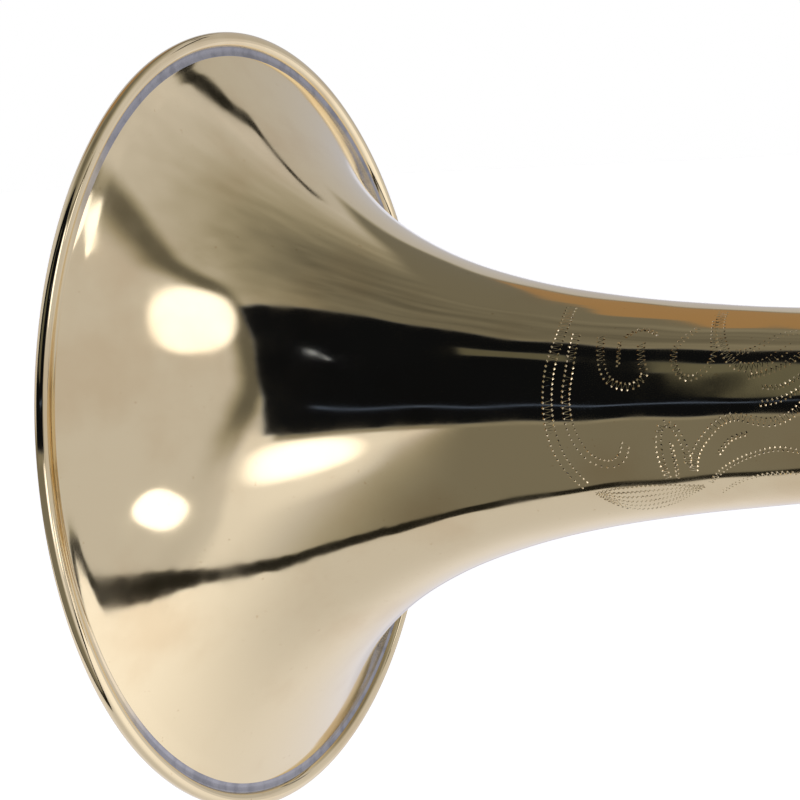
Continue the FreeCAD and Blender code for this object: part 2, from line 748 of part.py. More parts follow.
def slide_3_stop_rod():
    """Rod with lock nuts that limits how far the third slide throws."""
    start = V(STOP_BRACE_X, SLIDE_Y, SLIDE_Z)
    bar = rod(start, V(STOP_ROD_END_X, SLIDE_Y, SLIDE_Z), STOP_ROD_R)
    bar = bar.cut(rod(start - V(0, 0, 5), start + V(0, 0, 5), STOP_BRACE_R))
    nuts = [rod(V(x, SLIDE_Y, SLIDE_Z), V(x + STOP_NUT_LENGTH, SLIDE_Y, SLIDE_Z), STOP_NUT_R)
            for x in STOP_NUT_X]
    return fuse([bar] + nuts)


def slide_3_stop_lug():
    """Strut between the third slide's sleeves, which the stop rod runs through."""
    x = LUG_X + LUG_LENGTH / 2
    strut = rod(V(x, SLIDE_Y, SLIDE_PORTS[1]), V(x, SLIDE_Y, SLIDE_PORTS[0]), LUG_STRUT_R)
    front = V(LUG_X, SLIDE_Y, SLIDE_Z)
    back = V(LUG_X + LUG_LENGTH, SLIDE_Y, SLIDE_Z)
    lug = fuse([strut, rod(front, back, LUG_EYE_R)])
    lug = lug.cut(rod(front, back, LUG_HOLE_R))
    for level in SLIDE_PORTS:
        lug = lug.cut(rod(V(x - 5, SLIDE_Y, level), V(x + 5, SLIDE_Y, level), SLEEVE_R))
    return lug


# --- leadpipe, mouthpiece and their fittings ---------------------------------

def leadpipe_sleeve():
    """Outer tuning sleeve, split at its end where the clamp closes it."""
    start = V(VALVE_X[0] + CASING_R - 2, VALVE_Y, UPPER_PORT)
    end = V(PIPE_SLEEVE_END_X, VALVE_Y, UPPER_PORT)
    step = V(VALVE_X[0] + CASING_R + 3, VALVE_Y, UPPER_PORT)
    sleeve = rod(start, end, PIPE_SLEEVE_R)
    sleeve = sleeve.cut(rod(start, step, BORE_R)).cut(rod(step, end, PIPE_SLEEVE_BORE_R))
    slit = block(V(SLIT_START_X, VALVE_Y - SLIT_HALF, UPPER_PORT),
                 V(PIPE_SLEEVE_END_X, VALVE_Y + SLIT_HALF, UPPER_PORT + PIPE_SLEEVE_R + 1))
    return sleeve.cut(slit).cut(casing_core(VALVE_X[0]))


def leadpipe():
    """Tapered pipe that slides in its sleeve and carries the mouthpiece."""
    start = V(PIPE_START_X, VALVE_Y, UPPER_PORT)
    end = V(PIPE_END_X, VALVE_Y, UPPER_PORT)
    return rod(start, end, PIPE_R).cut(cone(start, end, BORE_R, PIPE_TIP_BORE_R))


def clamp_collar():
    low, high = COLLAR_X
    start = V(low, VALVE_Y, UPPER_PORT)
    end = V(high, VALVE_Y, UPPER_PORT)
    ears = block(V(low, VALVE_Y - EAR_HALF, UPPER_PORT + 4), V(high, VALVE_Y + EAR_HALF, EAR_TOP))
    collar = fuse([rod(start, end, COLLAR_R), ears]).cut(rod(start, end, PIPE_SLEEVE_R))
    slit = block(V(low, VALVE_Y - SLIT_HALF, UPPER_PORT), V(high, VALVE_Y + SLIT_HALF, EAR_TOP))
    centre = V(CLAMP_SCREW_X, VALVE_Y, SCREW_Z)
    reach = V(0, EAR_HALF + 1, 0)
    return collar.cut(slit).cut(rod(centre - reach, centre + reach, SCREW_R + SCREW_PLAY))


def wing():
    """One flat wing of a thumb screw, centred on the origin and square to Y."""
    flat = block(V(-4.5, -2.5, -0.8), V(4.5, 2.5, 0.8))
    return flat.makeFillet(0.6, flat.Edges)


def clamp_screw():
    """Wing screw that closes the clamp from the left."""
    centre = V(CLAMP_SCREW_X, VALVE_Y, SCREW_Z)
    head_start, head_end = (centre + V(0, y, 0) for y in CLAMP_HEAD_Y)
    shank = rod(head_start, centre + V(0, CLAMP_SCREW_END, 0), SCREW_R)
    pieces = [shank, rod(head_start, head_end, CLAMP_HEAD_R)]
    for side in (-1, 1):
        half = wing()
        half.translate(centre + V(side * WING_OFFSET, WING_Y, 0))
        pieces.append(half)
    return fuse(pieces)


def mouthpiece_receiver():
    """Socket on the leadpipe's end, with a tapered seat for the shank."""
    lip_start = RECEIVER_END_X - RECEIVER_LIP
    lip_r = RECEIVER_R + RECEIVER_LIP_PROUD
    outer = lathe([(RECEIVER_START_X - 6, 0), (RECEIVER_START_X - 6, PIPE_R + 0.5),
                   (RECEIVER_START_X, RECEIVER_R), (lip_start, RECEIVER_R),
                   (lip_start, lip_r), (RECEIVER_END_X, lip_r), (RECEIVER_END_X, 0)],
                  VALVE_Y, UPPER_PORT)
    outside, pipe_end, seat_start, mouth = (
        V(x, VALVE_Y, UPPER_PORT)
        for x in (RECEIVER_START_X - 10, PIPE_END_X, SEAT_START_X, RECEIVER_END_X))
    solid = outer.cut(rod(outside, pipe_end, PIPE_R))
    solid = solid.cut(rod(outside, seat_start, PIPE_TIP_BORE_R))
    return solid.cut(cone(seat_start, mouth, SEAT_R[0], SEAT_R[1]))


def mouthpiece():
    """Deep-cup mouthpiece: shank, throat, cup and rounded rim."""
    end = MOUTHPIECE_END_X
    outline = [
        V(SHANK_START_X, 0, 3.6), V(SHANK_START_X, 0, 4.38), V(RECEIVER_END_X + 4, 0, SEAT_R[1]),
        V(RECEIVER_END_X + 6, 0, 5.6), V(end - 32, 0, 6.2), V(end - 26, 0, 8.6),
        V(end - 18, 0, 11.0), V(end - 8, 0, 11.9), V(end - 4.5, 0, 13.4), V(end - 1.5, 0, 13.4),
        V(end, 0, 11.8), V(end, 0, 10.0), V(end - 2, 0, 8.4), V(end - 10, 0, 7.4),
        V(end - 22, 0, 3.4), V(end - 27, 0, 1.95), V(end - 31, 0, 1.95),
    ]
    edges = [line(a, b) for a, b in zip(outline, outline[1:] + outline[:1])]
    solid = turned(edges, V(0, 0, 0), X_AXIS)
    solid.translate(V(0, VALVE_Y, UPPER_PORT))
    return solid


def lyre_socket():
    """Upright socket for a music lyre, soldered on the leadpipe sleeve."""
    axis = V(LYRE_X, VALVE_Y, UPPER_PORT)
    sleeve = rod(axis - V(10, 0, 0), axis + V(10, 0, 0), PIPE_SLEEVE_R)
    top = V(LYRE_X, VALVE_Y, LYRE_TOP)
    floor = V(LYRE_X, VALVE_Y, LYRE_BOTTOM)
    centre = V(LYRE_X, VALVE_Y, LYRE_SCREW_Z)
    boss_end = centre - V(0, LYRE_R + LYRE_BOSS_LENGTH, 0)
    socket = fuse([rod(floor - V(0, 0, 3), top, LYRE_R), rod(boss_end, centre, LYRE_BOSS_R)])
    socket = socket.cut(rod(floor, top, LYRE_BORE_R)).cut(rod(boss_end, centre, SCREW_R))
    return socket.cut(sleeve)


def lyre_screw():
    """Thumb screw that holds the lyre in its socket."""
    centre = V(LYRE_X, VALVE_Y, LYRE_SCREW_Z)
    head_start, head_end = (centre + V(0, y, 0) for y in LYRE_HEAD_Y)
    tip = centre - V(0, LYRE_BORE_R + 0.3, 0)
    paddle = wing()
    paddle.translate(centre + V(0, LYRE_PADDLE_Y, 0))
    return fuse([rod(head_start, tip, SCREW_R - SCREW_PLAY),
                 rod(head_start, head_end, LYRE_HEAD_R), paddle])


def finger_hook():
    """Open hook for the right little finger, on the bell's tail."""
    x = HOOK_X
    centre = V(x, 0, bell_radius(x) + HOOK_MEAN_R + HOOK_WIRE_R - 0.5)
    angles = [math.radians(angle) for angle in HOOK_ANGLES]
    start, middle, end = (centre + V(math.cos(a), 0, math.sin(a)) * HOOK_MEAN_R for a in angles)
    hook = swept([arc(start, middle, end)], HOOK_WIRE_R)
    tip = Part.makeSphere(HOOK_WIRE_R + 0.5, end)
    foot = block(V(x - 9, -2.6, 0), V(x + 7, 2.6, bell_radius(x) + 1.3))
    return fuse([hook, tip, foot]).cut(bell_core())


# --- water keys --------------------------------------------------------------
# A key is drawn about the centre of its pivot; its nipple points down from the tube above.

def key_site(number):
    """Nipple and pivot points on the tube's underside, finger reach, and the tube."""
    x = NIPPLE_X[number - 1]
    if number == 1:
        tube = lower_branch_core(0.0)
        nipple = V(x, 0, BRANCH_Z - BRANCH_END_R - 0.15)
    else:
        level = SLIDE_PORTS[1]
        tube = rod(V(x - 4, SLIDE_Y, level), V(x + 40, SLIDE_Y, level), CROOK_R)
        nipple = V(x, SLIDE_Y, level - CROOK_R)
    pivot = nipple + V(PIVOT_BACK[number - 1], 0, -KEY_PIVOT_DROP)
    return nipple, pivot, KEY_REACH[number - 1], tube


def water_key_saddle(number):
    """Nipple, two lugs and the pivot pin."""
    nipple, pivot, _, tube = key_site(number)
    spout = pipe(nipple + V(0, 0, 3), nipple - V(0, 0, NIPPLE_LENGTH), NIPPLE_R, NIPPLE_HOLE_R)
    spout = spout.cut(tube)
    lugs = []
    for side in (-1, 1):
        near, far = sorted((side * LUG_Y[0], side * LUG_Y[1]))
        lugs.append(block(pivot + V(-2.2, near, -2.2), pivot + V(2.2, far, KEY_PIVOT_DROP + 4)))
    plate = block(pivot + V(-3.2, -LUG_Y[1], 3.2), pivot + V(3.2, LUG_Y[1], KEY_PIVOT_DROP + 4))
    saddle = fuse([plate] + lugs).cut(tube)
    pin = rod(pivot - V(0, LUG_Y[1] + 0.6, 0), pivot + V(0, LUG_Y[1] + 0.6, 0), PIN_R)
    return Part.makeCompound([spout, saddle.fuse(pin)])


def water_key_lever(number):
    """Hub on the pivot, an arm to the cork's cup and a finger paddle behind."""
    nipple, pivot, reach, _ = key_site(number)
    cup_top = nipple.z - NIPPLE_LENGTH - CORK_LENGTH + 0.8
    arm_bottom = cup_top - 1.6
    below = V(nipple.x, nipple.y, arm_bottom)
    cup_floor = V(nipple.x, nipple.y, cup_top - 0.8)
    cup = rod(below, V(nipple.x, nipple.y, cup_top), CORK_R + 0.7)
    recess = rod(cup_floor, cup_floor + V(0, 0, 3), CORK_R)
    hub = rod(pivot - V(0, 1.5, 0), pivot + V(0, 1.5, 0), HUB_R)
    front_arm = block(below - V(0, 1.2, 0), V(pivot.x + 1, nipple.y + 1.2, arm_bottom + 1.2))
    riser = block(V(pivot.x - 1, pivot.y - 1.2, arm_bottom), V(pivot.x + 1, pivot.y + 1.2, pivot.z))
    tail_start = V(pivot.x, pivot.y, arm_bottom + 0.8)
    tail_end = tail_start + V(reach, 0, -4.4)
    tail = rod(tail_start, tail_end, 1.0)
    paddle = Part.makeSphere(1.9, tail_end)
    lever = fuse([hub, cup, front_arm, riser, tail, paddle]).cut(recess)
    return lever.cut(rod(pivot - V(0, 3, 0), pivot + V(0, 3, 0), PIN_R + SCREW_PLAY))


def water_key_cork(number):
    nipple = key_site(number)[0]
    bottom = nipple - V(0, 0, NIPPLE_LENGTH + CORK_LENGTH)
    return rod(bottom, bottom + V(0, 0, CORK_LENGTH - 0.05), CORK_R)


def water_key_spring(number):
    """Coils of spring wire round the pin on both sides of the lever's hub."""
    pivot = key_site(number)[1]
    coils = [Part.makeTorus(HUB_R, KEY_SPRING_WIRE_R, pivot + V(0, offset, 0), Y_AXIS)
             for offset in KEY_SPRING_Y]
    return Part.makeCompound(coils)


# --- all parts ---------------------------------------------------------------

def parts():
    shapes = {
        "bell": bell(),
        "rim_wire": rim_wire(),
        "rear_bow": hollow(rear_bow_core),
        "lower_branch": hollow(lower_branch_core),
        "front_bow": hollow(front_bow_core),
        "front_branch": hollow(front_branch_core),
        "branch_ferrules": branch_ferrules(),
        "bell_braces": bell_braces(),
        "lower_braces": lower_braces(),
        "valve_knuckles": valve_knuckles(),
        "top_caps": top_caps(),
        "bottom_caps": bottom_caps(),
        "cap_felts": cap_felts(),
        "slide_3_ring": slide_3_ring(),
        "slide_3_stop_rod": slide_3_stop_rod(),
        "slide_3_stop_lug": slide_3_stop_lug(),
        "leadpipe_sleeve": leadpipe_sleeve(),
        "leadpipe": leadpipe(),
        "clamp_collar": clamp_collar(),
        "clamp_screw": clamp_screw(),
        "mouthpiece_receiver": mouthpiece_receiver(),
        "mouthpiece": mouthpiece(),
        "lyre_socket": lyre_socket(),
        "lyre_screw": lyre_screw(),
        "finger_hook": finger_hook(),
    }
    for index in range(3):
        number = str(index + 1)
        shapes["valve_casing_" + number] = valve_casing(index)
        shapes["piston_" + number] = piston(index)
        shapes["stem_" + number] = stem(index)
        shapes["button_" + number] = button(index)
        shapes["pearl_" + number] = pearl(index)
        shapes["spring_" + number] = valve_spring(index)
        shapes["slide_" + number + "_sleeves"] = slide_sleeves(index)
        shapes["slide_" + number + "_legs"] = slide_legs(index)
        shapes["slide_" + number + "_crook"] = slide_crook(index)
    for number in (1, 2):
        shapes["water_key_" + str(number) + "_lever"] = water_key_lever(number)
        shapes["water_key_" + str(number) + "_cork"] = water_key_cork(number)
        shapes["water_key_" + str(number) + "_saddle"] = water_key_saddle(number)
        shapes["water_key_" + str(number) + "_spring"] = water_key_spring(number)
    return shapes


os.makedirs("parts", exist_ok=True)
for name, shape in parts().items():
    shape.exportStep(os.path.join("parts", name + ".step"))
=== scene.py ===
"""Looks of the flugelhorn: polished brass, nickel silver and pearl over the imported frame.

Everything is in the frame's metres: the bell's mouth is centred on the origin, +X runs back to
the player, +Z is up and -Y is the player's left.
"""

import json
import math

import bmesh
import bpy
import numpy as np
from mathutils import Matrix, Vector


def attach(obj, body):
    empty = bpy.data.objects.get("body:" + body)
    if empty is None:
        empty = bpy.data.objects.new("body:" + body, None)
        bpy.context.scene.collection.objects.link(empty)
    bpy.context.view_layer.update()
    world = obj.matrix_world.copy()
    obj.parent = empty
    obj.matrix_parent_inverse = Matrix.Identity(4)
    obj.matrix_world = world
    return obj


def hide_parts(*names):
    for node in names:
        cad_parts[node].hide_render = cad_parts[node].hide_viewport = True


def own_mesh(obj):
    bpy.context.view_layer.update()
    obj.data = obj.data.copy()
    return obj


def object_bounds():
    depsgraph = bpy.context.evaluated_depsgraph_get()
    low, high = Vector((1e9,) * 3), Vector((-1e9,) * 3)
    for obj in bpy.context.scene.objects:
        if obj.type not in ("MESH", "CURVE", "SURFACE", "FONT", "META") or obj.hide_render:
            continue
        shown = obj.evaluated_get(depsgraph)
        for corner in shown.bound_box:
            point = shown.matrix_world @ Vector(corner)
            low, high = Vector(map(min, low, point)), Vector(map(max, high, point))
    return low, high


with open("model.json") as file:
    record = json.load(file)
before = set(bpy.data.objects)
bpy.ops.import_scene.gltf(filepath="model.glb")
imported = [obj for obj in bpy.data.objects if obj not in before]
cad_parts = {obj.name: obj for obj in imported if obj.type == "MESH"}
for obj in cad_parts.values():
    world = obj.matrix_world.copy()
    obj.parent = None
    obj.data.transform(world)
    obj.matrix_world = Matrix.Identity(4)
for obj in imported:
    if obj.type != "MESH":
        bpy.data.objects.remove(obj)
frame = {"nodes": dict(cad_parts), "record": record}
cad_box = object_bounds()

MM = 0.001

# The bell's outline, as the frame has it, its rolled edge, and the lip and solder beside the edge
BELL_BASE = 20.45 * MM
BELL_TAPER = 0.0262
BELL_FLARE = 54.65 * MM
FLARE_LENGTH = 30.9 * MM
BELL_START = 0.68 * MM
BELL_END = 360.0 * MM
SHEET = 0.55 * MM
BEAD_WIRE = 1.0 * MM
SEAM_FOOT = 2.3 * MM
LIP_START = 1.2 * MM
LIP_END = 3.7 * MM
LIP_HEIGHT = 0.16 * MM
SOLDER_LIP = math.radians(-66)
SOLDER_HOLLOW = 0.16 * MM
CURL = math.radians(300)
BELL_STEPS = 288

# The wrap, and the valves that it leads to
BOW_R = 48.0 * MM
BRANCH_Z = -2 * BOW_R
BRANCH_START_R = 8.8 * MM
BRANCH_END_R = 7.2 * MM
FRONT_R = 6.3 * MM
FRONT_X = 168.0 * MM
VALVE_Y = 28.0 * MM
LOWER_PORT = -46.0 * MM
UPPER_PORT = -34.0 * MM
VALVE_X = (288.0 * MM, 261.5 * MM, 235.0 * MM)
CASING_R = 10.2 * MM
TUBE_WALL = 0.6 * MM

# Return springs: wire and coil radii, number of turns, and ends
SPRING_WIRE = 0.55 * MM
SPRING_R = 5.6 * MM
SPRING_TURNS = 8
SPRING_BOTTOM = -91.4 * MM
SPRING_TOP = -57.1 * MM

# Finger flutes round the valve caps: their number, half angle and depth
FLUTES = 12
FLUTE_HALF = 0.085
FLUTE_DEPTH = 0.5 * MM

# Middles of the two water keys' corks, in mm
KEY_CORKS = ((184.0, 0, -108.75), (143.0, 47.2, -59.8))

# Floor: half its side, and how far it lies under the horn
FLOOR_HALF = 6.0
FLOOR_GAP = 0.06


# --- node trees --------------------------------------------------------------

class Graph:
    """Short calls for building a node tree."""

    def __init__(self, tree):
        self.tree = tree
        tree.nodes.clear()

    def node(self, kind, **settings):
        made = self.tree.nodes.new(kind)
        for key, value in settings.items():
            setattr(made, key, value)
        return made

    def feed(self, socket, value):
        if isinstance(value, bpy.types.NodeSocket):
            self.tree.links.new(value, socket)
        else:
            socket.default_value = value

    def math(self, operation, *values):
        made = self.node("ShaderNodeMath", operation=operation)
        for socket, value in zip(made.inputs, values):
            self.feed(socket, value)
        return made.outputs[0]

    def step(self, value, start, end, low=0.0, high=1.0):
        """A smooth step from low to high as value goes from start to end."""
        made = self.node("ShaderNodeMapRange", interpolation_type="SMOOTHSTEP")
        for name, setting in (("Value", value), ("From Min", start), ("From Max", end),
                              ("To Min", low), ("To Max", high)):
            self.feed(made.inputs[name], setting)
        return made.outputs["Result"]

    def blend(self, factor, first, second):
        """A number that goes from first to second with factor."""
        made = self.node("ShaderNodeMix", data_type="FLOAT")
        for socket, value in zip(made.inputs[:4], (factor, None, first, second)):
            if value is not None:
                self.feed(socket, value)
        return made.outputs[0]

    def colour(self, factor, first, second):
        made = self.node("ShaderNodeMix", data_type="RGBA")
        self.feed(made.inputs["Factor"], factor)
        self.feed(made.inputs[6], first)
        self.feed(made.inputs[7], second)
        return made.outputs[2]

    def noise(self, vector, scale, detail=2.0):
        made = self.node("ShaderNodeTexNoise")
        self.feed(made.inputs["Vector"], vector)
        made.inputs["Scale"].default_value = scale
        made.inputs["Detail"].default_value = detail
        return made.outputs["Fac"]

    def stretch(self, vector, scale):
        made = self.node("ShaderNodeVectorMath", operation="MULTIPLY")
        self.feed(made.inputs[0], vector)
        made.inputs[1].default_value = scale
        return made.outputs[0]

    def times(self, *values):
        made = values[0]
        for value in values[1:]:
            made = self.math("MULTIPLY", made, value)
        return made

    def here(self):
        return self.node("ShaderNodeTexCoord").outputs["Object"]

    def bump(self, shader, height, strength, distance):
        made = self.node("ShaderNodeBump")
        made.inputs["Strength"].default_value = strength
        made.inputs["Distance"].default_value = distance
        self.feed(made.inputs["Height"], height)
        self.feed(shader.inputs["Normal"], made.outputs["Normal"])


def rgba(colour):
    return (*colour, 1.0)


def material(name, colour, **settings):
    """A Principled material and its graph; settings are socket names with _ for spaces."""
    made = bpy.data.materials.new(name)
    made.use_nodes = True
    graph = Graph(made.node_tree)
    shader = graph.node("ShaderNodeBsdfPrincipled")
    output = graph.node("ShaderNodeOutputMaterial")
    graph.tree.links.new(shader.outputs["BSDF"], output.inputs["Surface"])
    shader.inputs["Base Color"].default_value = rgba(colour)
    for key, value in settings.items():
        shader.inputs[key.replace("_", " ")].default_value = value
    return made, graph, shader


def metal(name, colour, tarnish, roughness, grain=(1, 1, 1), grain_height=0.02 * MM, lacquer=0.0):
    """Polished metal with faint tarnish, handling haze and fine polishing lines along grain."""
    made, graph, shader = material(name, colour, Metallic=1.0, Coat_Weight=lacquer,
                                   Coat_Roughness=0.04)
    here = graph.here()
    clouds = graph.step(graph.noise(here, 45.0, 4.0), 0.45, 0.75)
    specks = graph.step(graph.noise(here, 900.0, 2.0), 0.70, 0.78)
    worn = graph.math("MAXIMUM", graph.times(clouds, 0.35), graph.times(specks, 0.45))
    graph.feed(shader.inputs["Base Color"], graph.colour(worn, rgba(colour), rgba(tarnish)))
    haze = graph.noise(here, 130.0, 3.0)
    graph.feed(shader.inputs["Roughness"],
               graph.step(haze, 0.3, 0.75, roughness * 0.75, roughness * 1.45))
    lines = graph.noise(graph.stretch(here, grain), 2600.0, 3.0)
    graph.bump(shader, lines, 0.12, grain_height)
    return made


def solder_material():
    """Smoothed soft solder, grey with an uneven tone, turning brass-coloured and smoother on the horn's
    left side.
    """
    made, graph, shader = material("rim_solder", (0.40, 0.395, 0.40), Metallic=1.0)
    here = graph.here()
    split = graph.node("ShaderNodeSeparateXYZ")
    graph.feed(split.inputs[0], here)
    uneven = graph.math("MULTIPLY_ADD", graph.noise(here, 60.0, 3.0), 20 * MM, split.outputs[1])
    # Brass-coloured and smoother towards the horn's left side, past a ragged edge
    brass_side = graph.step(uneven, -30 * MM, -52 * MM)
    dull = graph.colour(graph.step(graph.noise(here, 320.0, 3.0), 0.4, 0.7), rgba((0.40, 0.39, 0.39)),
                        rgba((0.29, 0.285, 0.29)))
    graph.feed(shader.inputs["Base Color"], graph.colour(brass_side, dull, rgba((0.90, 0.74, 0.45))))
    graph.feed(shader.inputs["Roughness"], graph.step(brass_side, 0.0, 1.0, 0.22, 0.10))
    graph.bump(shader, graph.noise(here, 900.0, 3.0), 0.2, 0.02 * MM)
    return made


def felt_material():
    made, graph, shader = material("felt", (0.35, 0.03, 0.03), Roughness=0.95, Sheen_Weight=0.6,
                                   Sheen_Roughness=0.5)
    here = graph.here()
    fibres = graph.noise(graph.stretch(here, (1, 1, 2.5)), 2200.0, 4.0)
    graph.feed(shader.inputs["Base Color"],
               graph.colour(fibres, rgba((0.16, 0.01, 0.012)), rgba((0.45, 0.06, 0.05))))
    graph.bump(shader, fibres, 0.8, 0.15 * MM)
    return made


def cork_material():
    made, graph, shader = material("cork", (0.5, 0.33, 0.18), Roughness=0.8)
    here = graph.here()
    grains = graph.node("ShaderNodeTexVoronoi")
    graph.feed(grains.inputs["Vector"], here)
    grains.inputs["Scale"].default_value = 1500.0
    pits = graph.step(grains.outputs["Distance"], 0.1, 0.7)
    graph.feed(shader.inputs["Base Color"],
               graph.colour(pits, rgba((0.62, 0.42, 0.24)), rgba((0.32, 0.19, 0.09))))
    graph.bump(shader, grains.outputs["Distance"], 0.5, 0.1 * MM)
    return made


def pearl_material():
    made, graph, shader = material("pearl", (0.85, 0.84, 0.8), Roughness=0.18, Coat_Weight=0.8,
                                   Coat_Roughness=0.05)
    here = graph.here()
    warp = graph.noise(here, 260.0, 2.0)
    waves = graph.node("ShaderNodeTexWave", wave_type="RINGS")
    graph.feed(waves.inputs["Vector"], graph.stretch(here, (1.0, 0.5, 1.0)))
    waves.inputs["Scale"].default_value = 170.0
    waves.inputs["Distortion"].default_value = 9.0
    layers = graph.math("MULTIPLY", waves.outputs["Fac"], warp)
    tint = graph.colour(graph.step(warp, 0.4, 0.6), rgba((0.86, 0.78, 0.76)),
                        rgba((0.72, 0.84, 0.80)))
    graph.feed(shader.inputs["Base Color"],
               graph.colour(graph.step(layers, 0.1, 0.6), tint, rgba((0.93, 0.92, 0.88))))
    return made


def make_materials():
    """One material for each of the record's slots."""
    return {
        "bell_brass": metal("bell_brass", (0.93, 0.77, 0.47), (0.72, 0.50, 0.25), 0.075,
                            grain=(1, 1, 1), grain_height=0.004 * MM),
        "tube_brass": metal("tube_brass", (0.92, 0.75, 0.44), (0.70, 0.48, 0.24), 0.09,
                            grain=(0.1, 1, 1), grain_height=0.006 * MM, lacquer=0.15),
        "casing_brass": metal("casing_brass", (0.90, 0.73, 0.43), (0.66, 0.45, 0.22), 0.13,
                              grain=(0.15, 0.15, 1), grain_height=0.012 * MM, lacquer=0.15),
        "nickel_silver": metal("nickel_silver", (0.80, 0.77, 0.70), (0.55, 0.50, 0.42), 0.10,
                               grain=(0.2, 1, 1), grain_height=0.006 * MM),
        "silver_plate": metal("silver_plate", (0.93, 0.92, 0.89), (0.66, 0.60, 0.50), 0.06,
                              grain=(1, 0.2, 0.2), grain_height=0.004 * MM),
        "piston_monel": metal("piston_monel", (0.66, 0.64, 0.60), (0.45, 0.43, 0.39), 0.28,
                              grain=(0.1, 0.1, 1), grain_height=0.01 * MM),
        "spring_steel": metal("spring_steel", (0.56, 0.55, 0.53), (0.35, 0.30, 0.24), 0.25,
                              grain=(1, 1, 1), grain_height=0.006 * MM),
        "rim_solder": solder_material(),
        "pearl": pearl_material(),
        "felt": felt_material(),
        "cork": cork_material(),
    }


# --- meshes ------------------------------------------------------------------

def mesh_piece(name, points, faces, skin, smooth=True):
    mesh = bpy.data.meshes.new(name)
    mesh.from_pydata([tuple(p) for p in points], [], [tuple(f) for f in faces])
    mesh.update()
    if smooth:
        mesh.shade_smooth()
    mesh.materials.append(skin)
    piece = bpy.data.objects.new(name, mesh)
    bpy.context.collection.objects.link(piece)
    return piece


def ring_grid(rings, steps):
    """Faces that join rings of steps points each, in a closed chain of rings."""
    index = np.arange(rings * steps).reshape(rings, steps)
    after = np.roll(index, -1, axis=0)
    corners = (index, np.roll(index, -1, axis=1), np.roll(after, -1, axis=1), after)
    return np.stack(corners, axis=-1).reshape(-1, 4)


def eased(outline, reach):
    """A closed outline with each corner rounded over at most reach along its sides."""
    corners = np.array(outline, float)
    t = np.linspace(0, 1, 6)[:, None]
    made = []
    for before, here, after in zip(np.roll(corners, 1, 0), corners, np.roll(corners, -1, 0)):
        start, end = (here + (other - here) * min(0.45, reach / np.linalg.norm(other - here))
                      for other in (before, after))
        made.append((1 - t) ** 2 * start + 2 * t * (1 - t) * here + t ** 2 * end)
    return np.concatenate(made)


def divided(outline, longest):
    """A closed outline with its long straight sides cut into shorter ones."""
    made = []
    for here, after in zip(outline, np.roll(outline, -1, 0)):
        pieces = max(1, math.ceil(np.linalg.norm(after - here) / longest))
        made += [here + (after - here) * i / pieces for i in range(pieces)]
    return np.array(made)


def turned(name, turnings, steps, skin, sway=None, upright=False):
    """Closed (along, radius) outlines, each turned about a line along X or Z through its place."""
    points, faces = [], []
    turn = np.linspace(0, 2 * math.pi, steps, endpoint=False)
    for outline, place in turnings:
        distance, radius = np.array(outline).T
        along, around = np.meshgrid(distance, turn, indexing="ij")
        out = np.broadcast_to(radius[:, None], along.shape)
        if sway is not None:
            out = out + sway(along, around)
        parts = (along, out * np.cos(around), out * np.sin(around))
        made = np.stack(parts[1:] + parts[:1] if upright else parts, axis=-1)
        faces.append(ring_grid(len(distance), steps) + sum(map(len, points)))
        points.append(made.reshape(-1, 3) + np.array(place))
    piece = mesh_piece(name, np.concatenate(points), np.concatenate(faces), skin)
    centre_closed(piece)
    return piece


def centre_closed(piece):
    """Turns each ring of no radius into one point."""
    work = bmesh.new()
    work.from_mesh(piece.data)
    bmesh.ops.remove_doubles(work, verts=work.verts, dist=1e-7)
    work.to_mesh(piece.data)
    work.free()


def bell_radius(x):
    return BELL_BASE - BELL_TAPER * x + BELL_FLARE * np.exp(-x / FLARE_LENGTH)


def bell_angle(x):
    return np.arctan(-BELL_TAPER - BELL_FLARE / FLARE_LENGTH * np.exp(-x / FLARE_LENGTH))


def bell_line(depth, count):
    """The bell's outline a depth under its outside, mouth to tail, close set at the flare."""
    x = BELL_START + (BELL_END - BELL_START) * np.linspace(0, 1, count) ** 1.7
    angle = bell_angle(x)
    fade = np.minimum(1.0, (BELL_END - x) / (20 * MM))
    return np.stack((x + depth * np.sin(angle) * fade, bell_radius(x) - depth * np.cos(angle)), 1)


def bead_centre():
    """Middle of the wire that the bell's edge is rolled round, in the bell's section."""
    slope = bell_angle(BELL_START)
    return np.array((BELL_START - BEAD_WIRE * math.sin(slope),
                     bell_radius(BELL_START) + BEAD_WIRE * math.cos(slope)))


def bead_arc(radius, start, end, count):
    """Part of the rolled edge's section, turned round the wire from where the sheet arrives."""
    angle = bell_angle(BELL_START) - math.pi / 2 - np.linspace(start, end, count)
    return bead_centre() + radius * np.stack((np.cos(angle), np.sin(angle)), 1)


def hammering(x, turn):
    """Slight unevenness of hand-worked sheet."""
    waves = (np.sin(3 * turn + 40 * x) * np.sin(95 * x + 1.3 * np.sin(2 * turn))
             + 0.6 * np.sin(7 * turn - 120 * x + 0.5) * np.cos(210 * x)
             + 0.35 * np.sin(13 * turn + 260 * x))
    return 0.035 * MM * waves


def near_rim(x):
    """A low lip beside the rim, highest at the solder's foot, on the bell's two faces."""
    rise = np.clip((x - LIP_START) / (SEAM_FOOT - LIP_START), 0, 1)
    fall = np.clip((LIP_END - x) / (LIP_END - SEAM_FOOT), 0, 1)
    return LIP_HEIGHT * rise * fall


def unevenness(x, turn):
    return hammering(x, turn) + near_rim(x)


def bell(skin):
    """The bell's sheet: its two faces, and the curl of its edge round the wire."""
    outline = np.concatenate((
        bell_line(0.0, 230),
        bell_line(SHEET, 70)[::-1],
        bead_arc(BEAD_WIRE + SHEET, 0, CURL, 26)[1:],
        bead_arc(BEAD_WIRE, CURL, 0, 20)[:-1],
    ))
    return turned("bell_sheet", [(outline, (0, 0, 0))], BELL_STEPS, skin, unevenness)


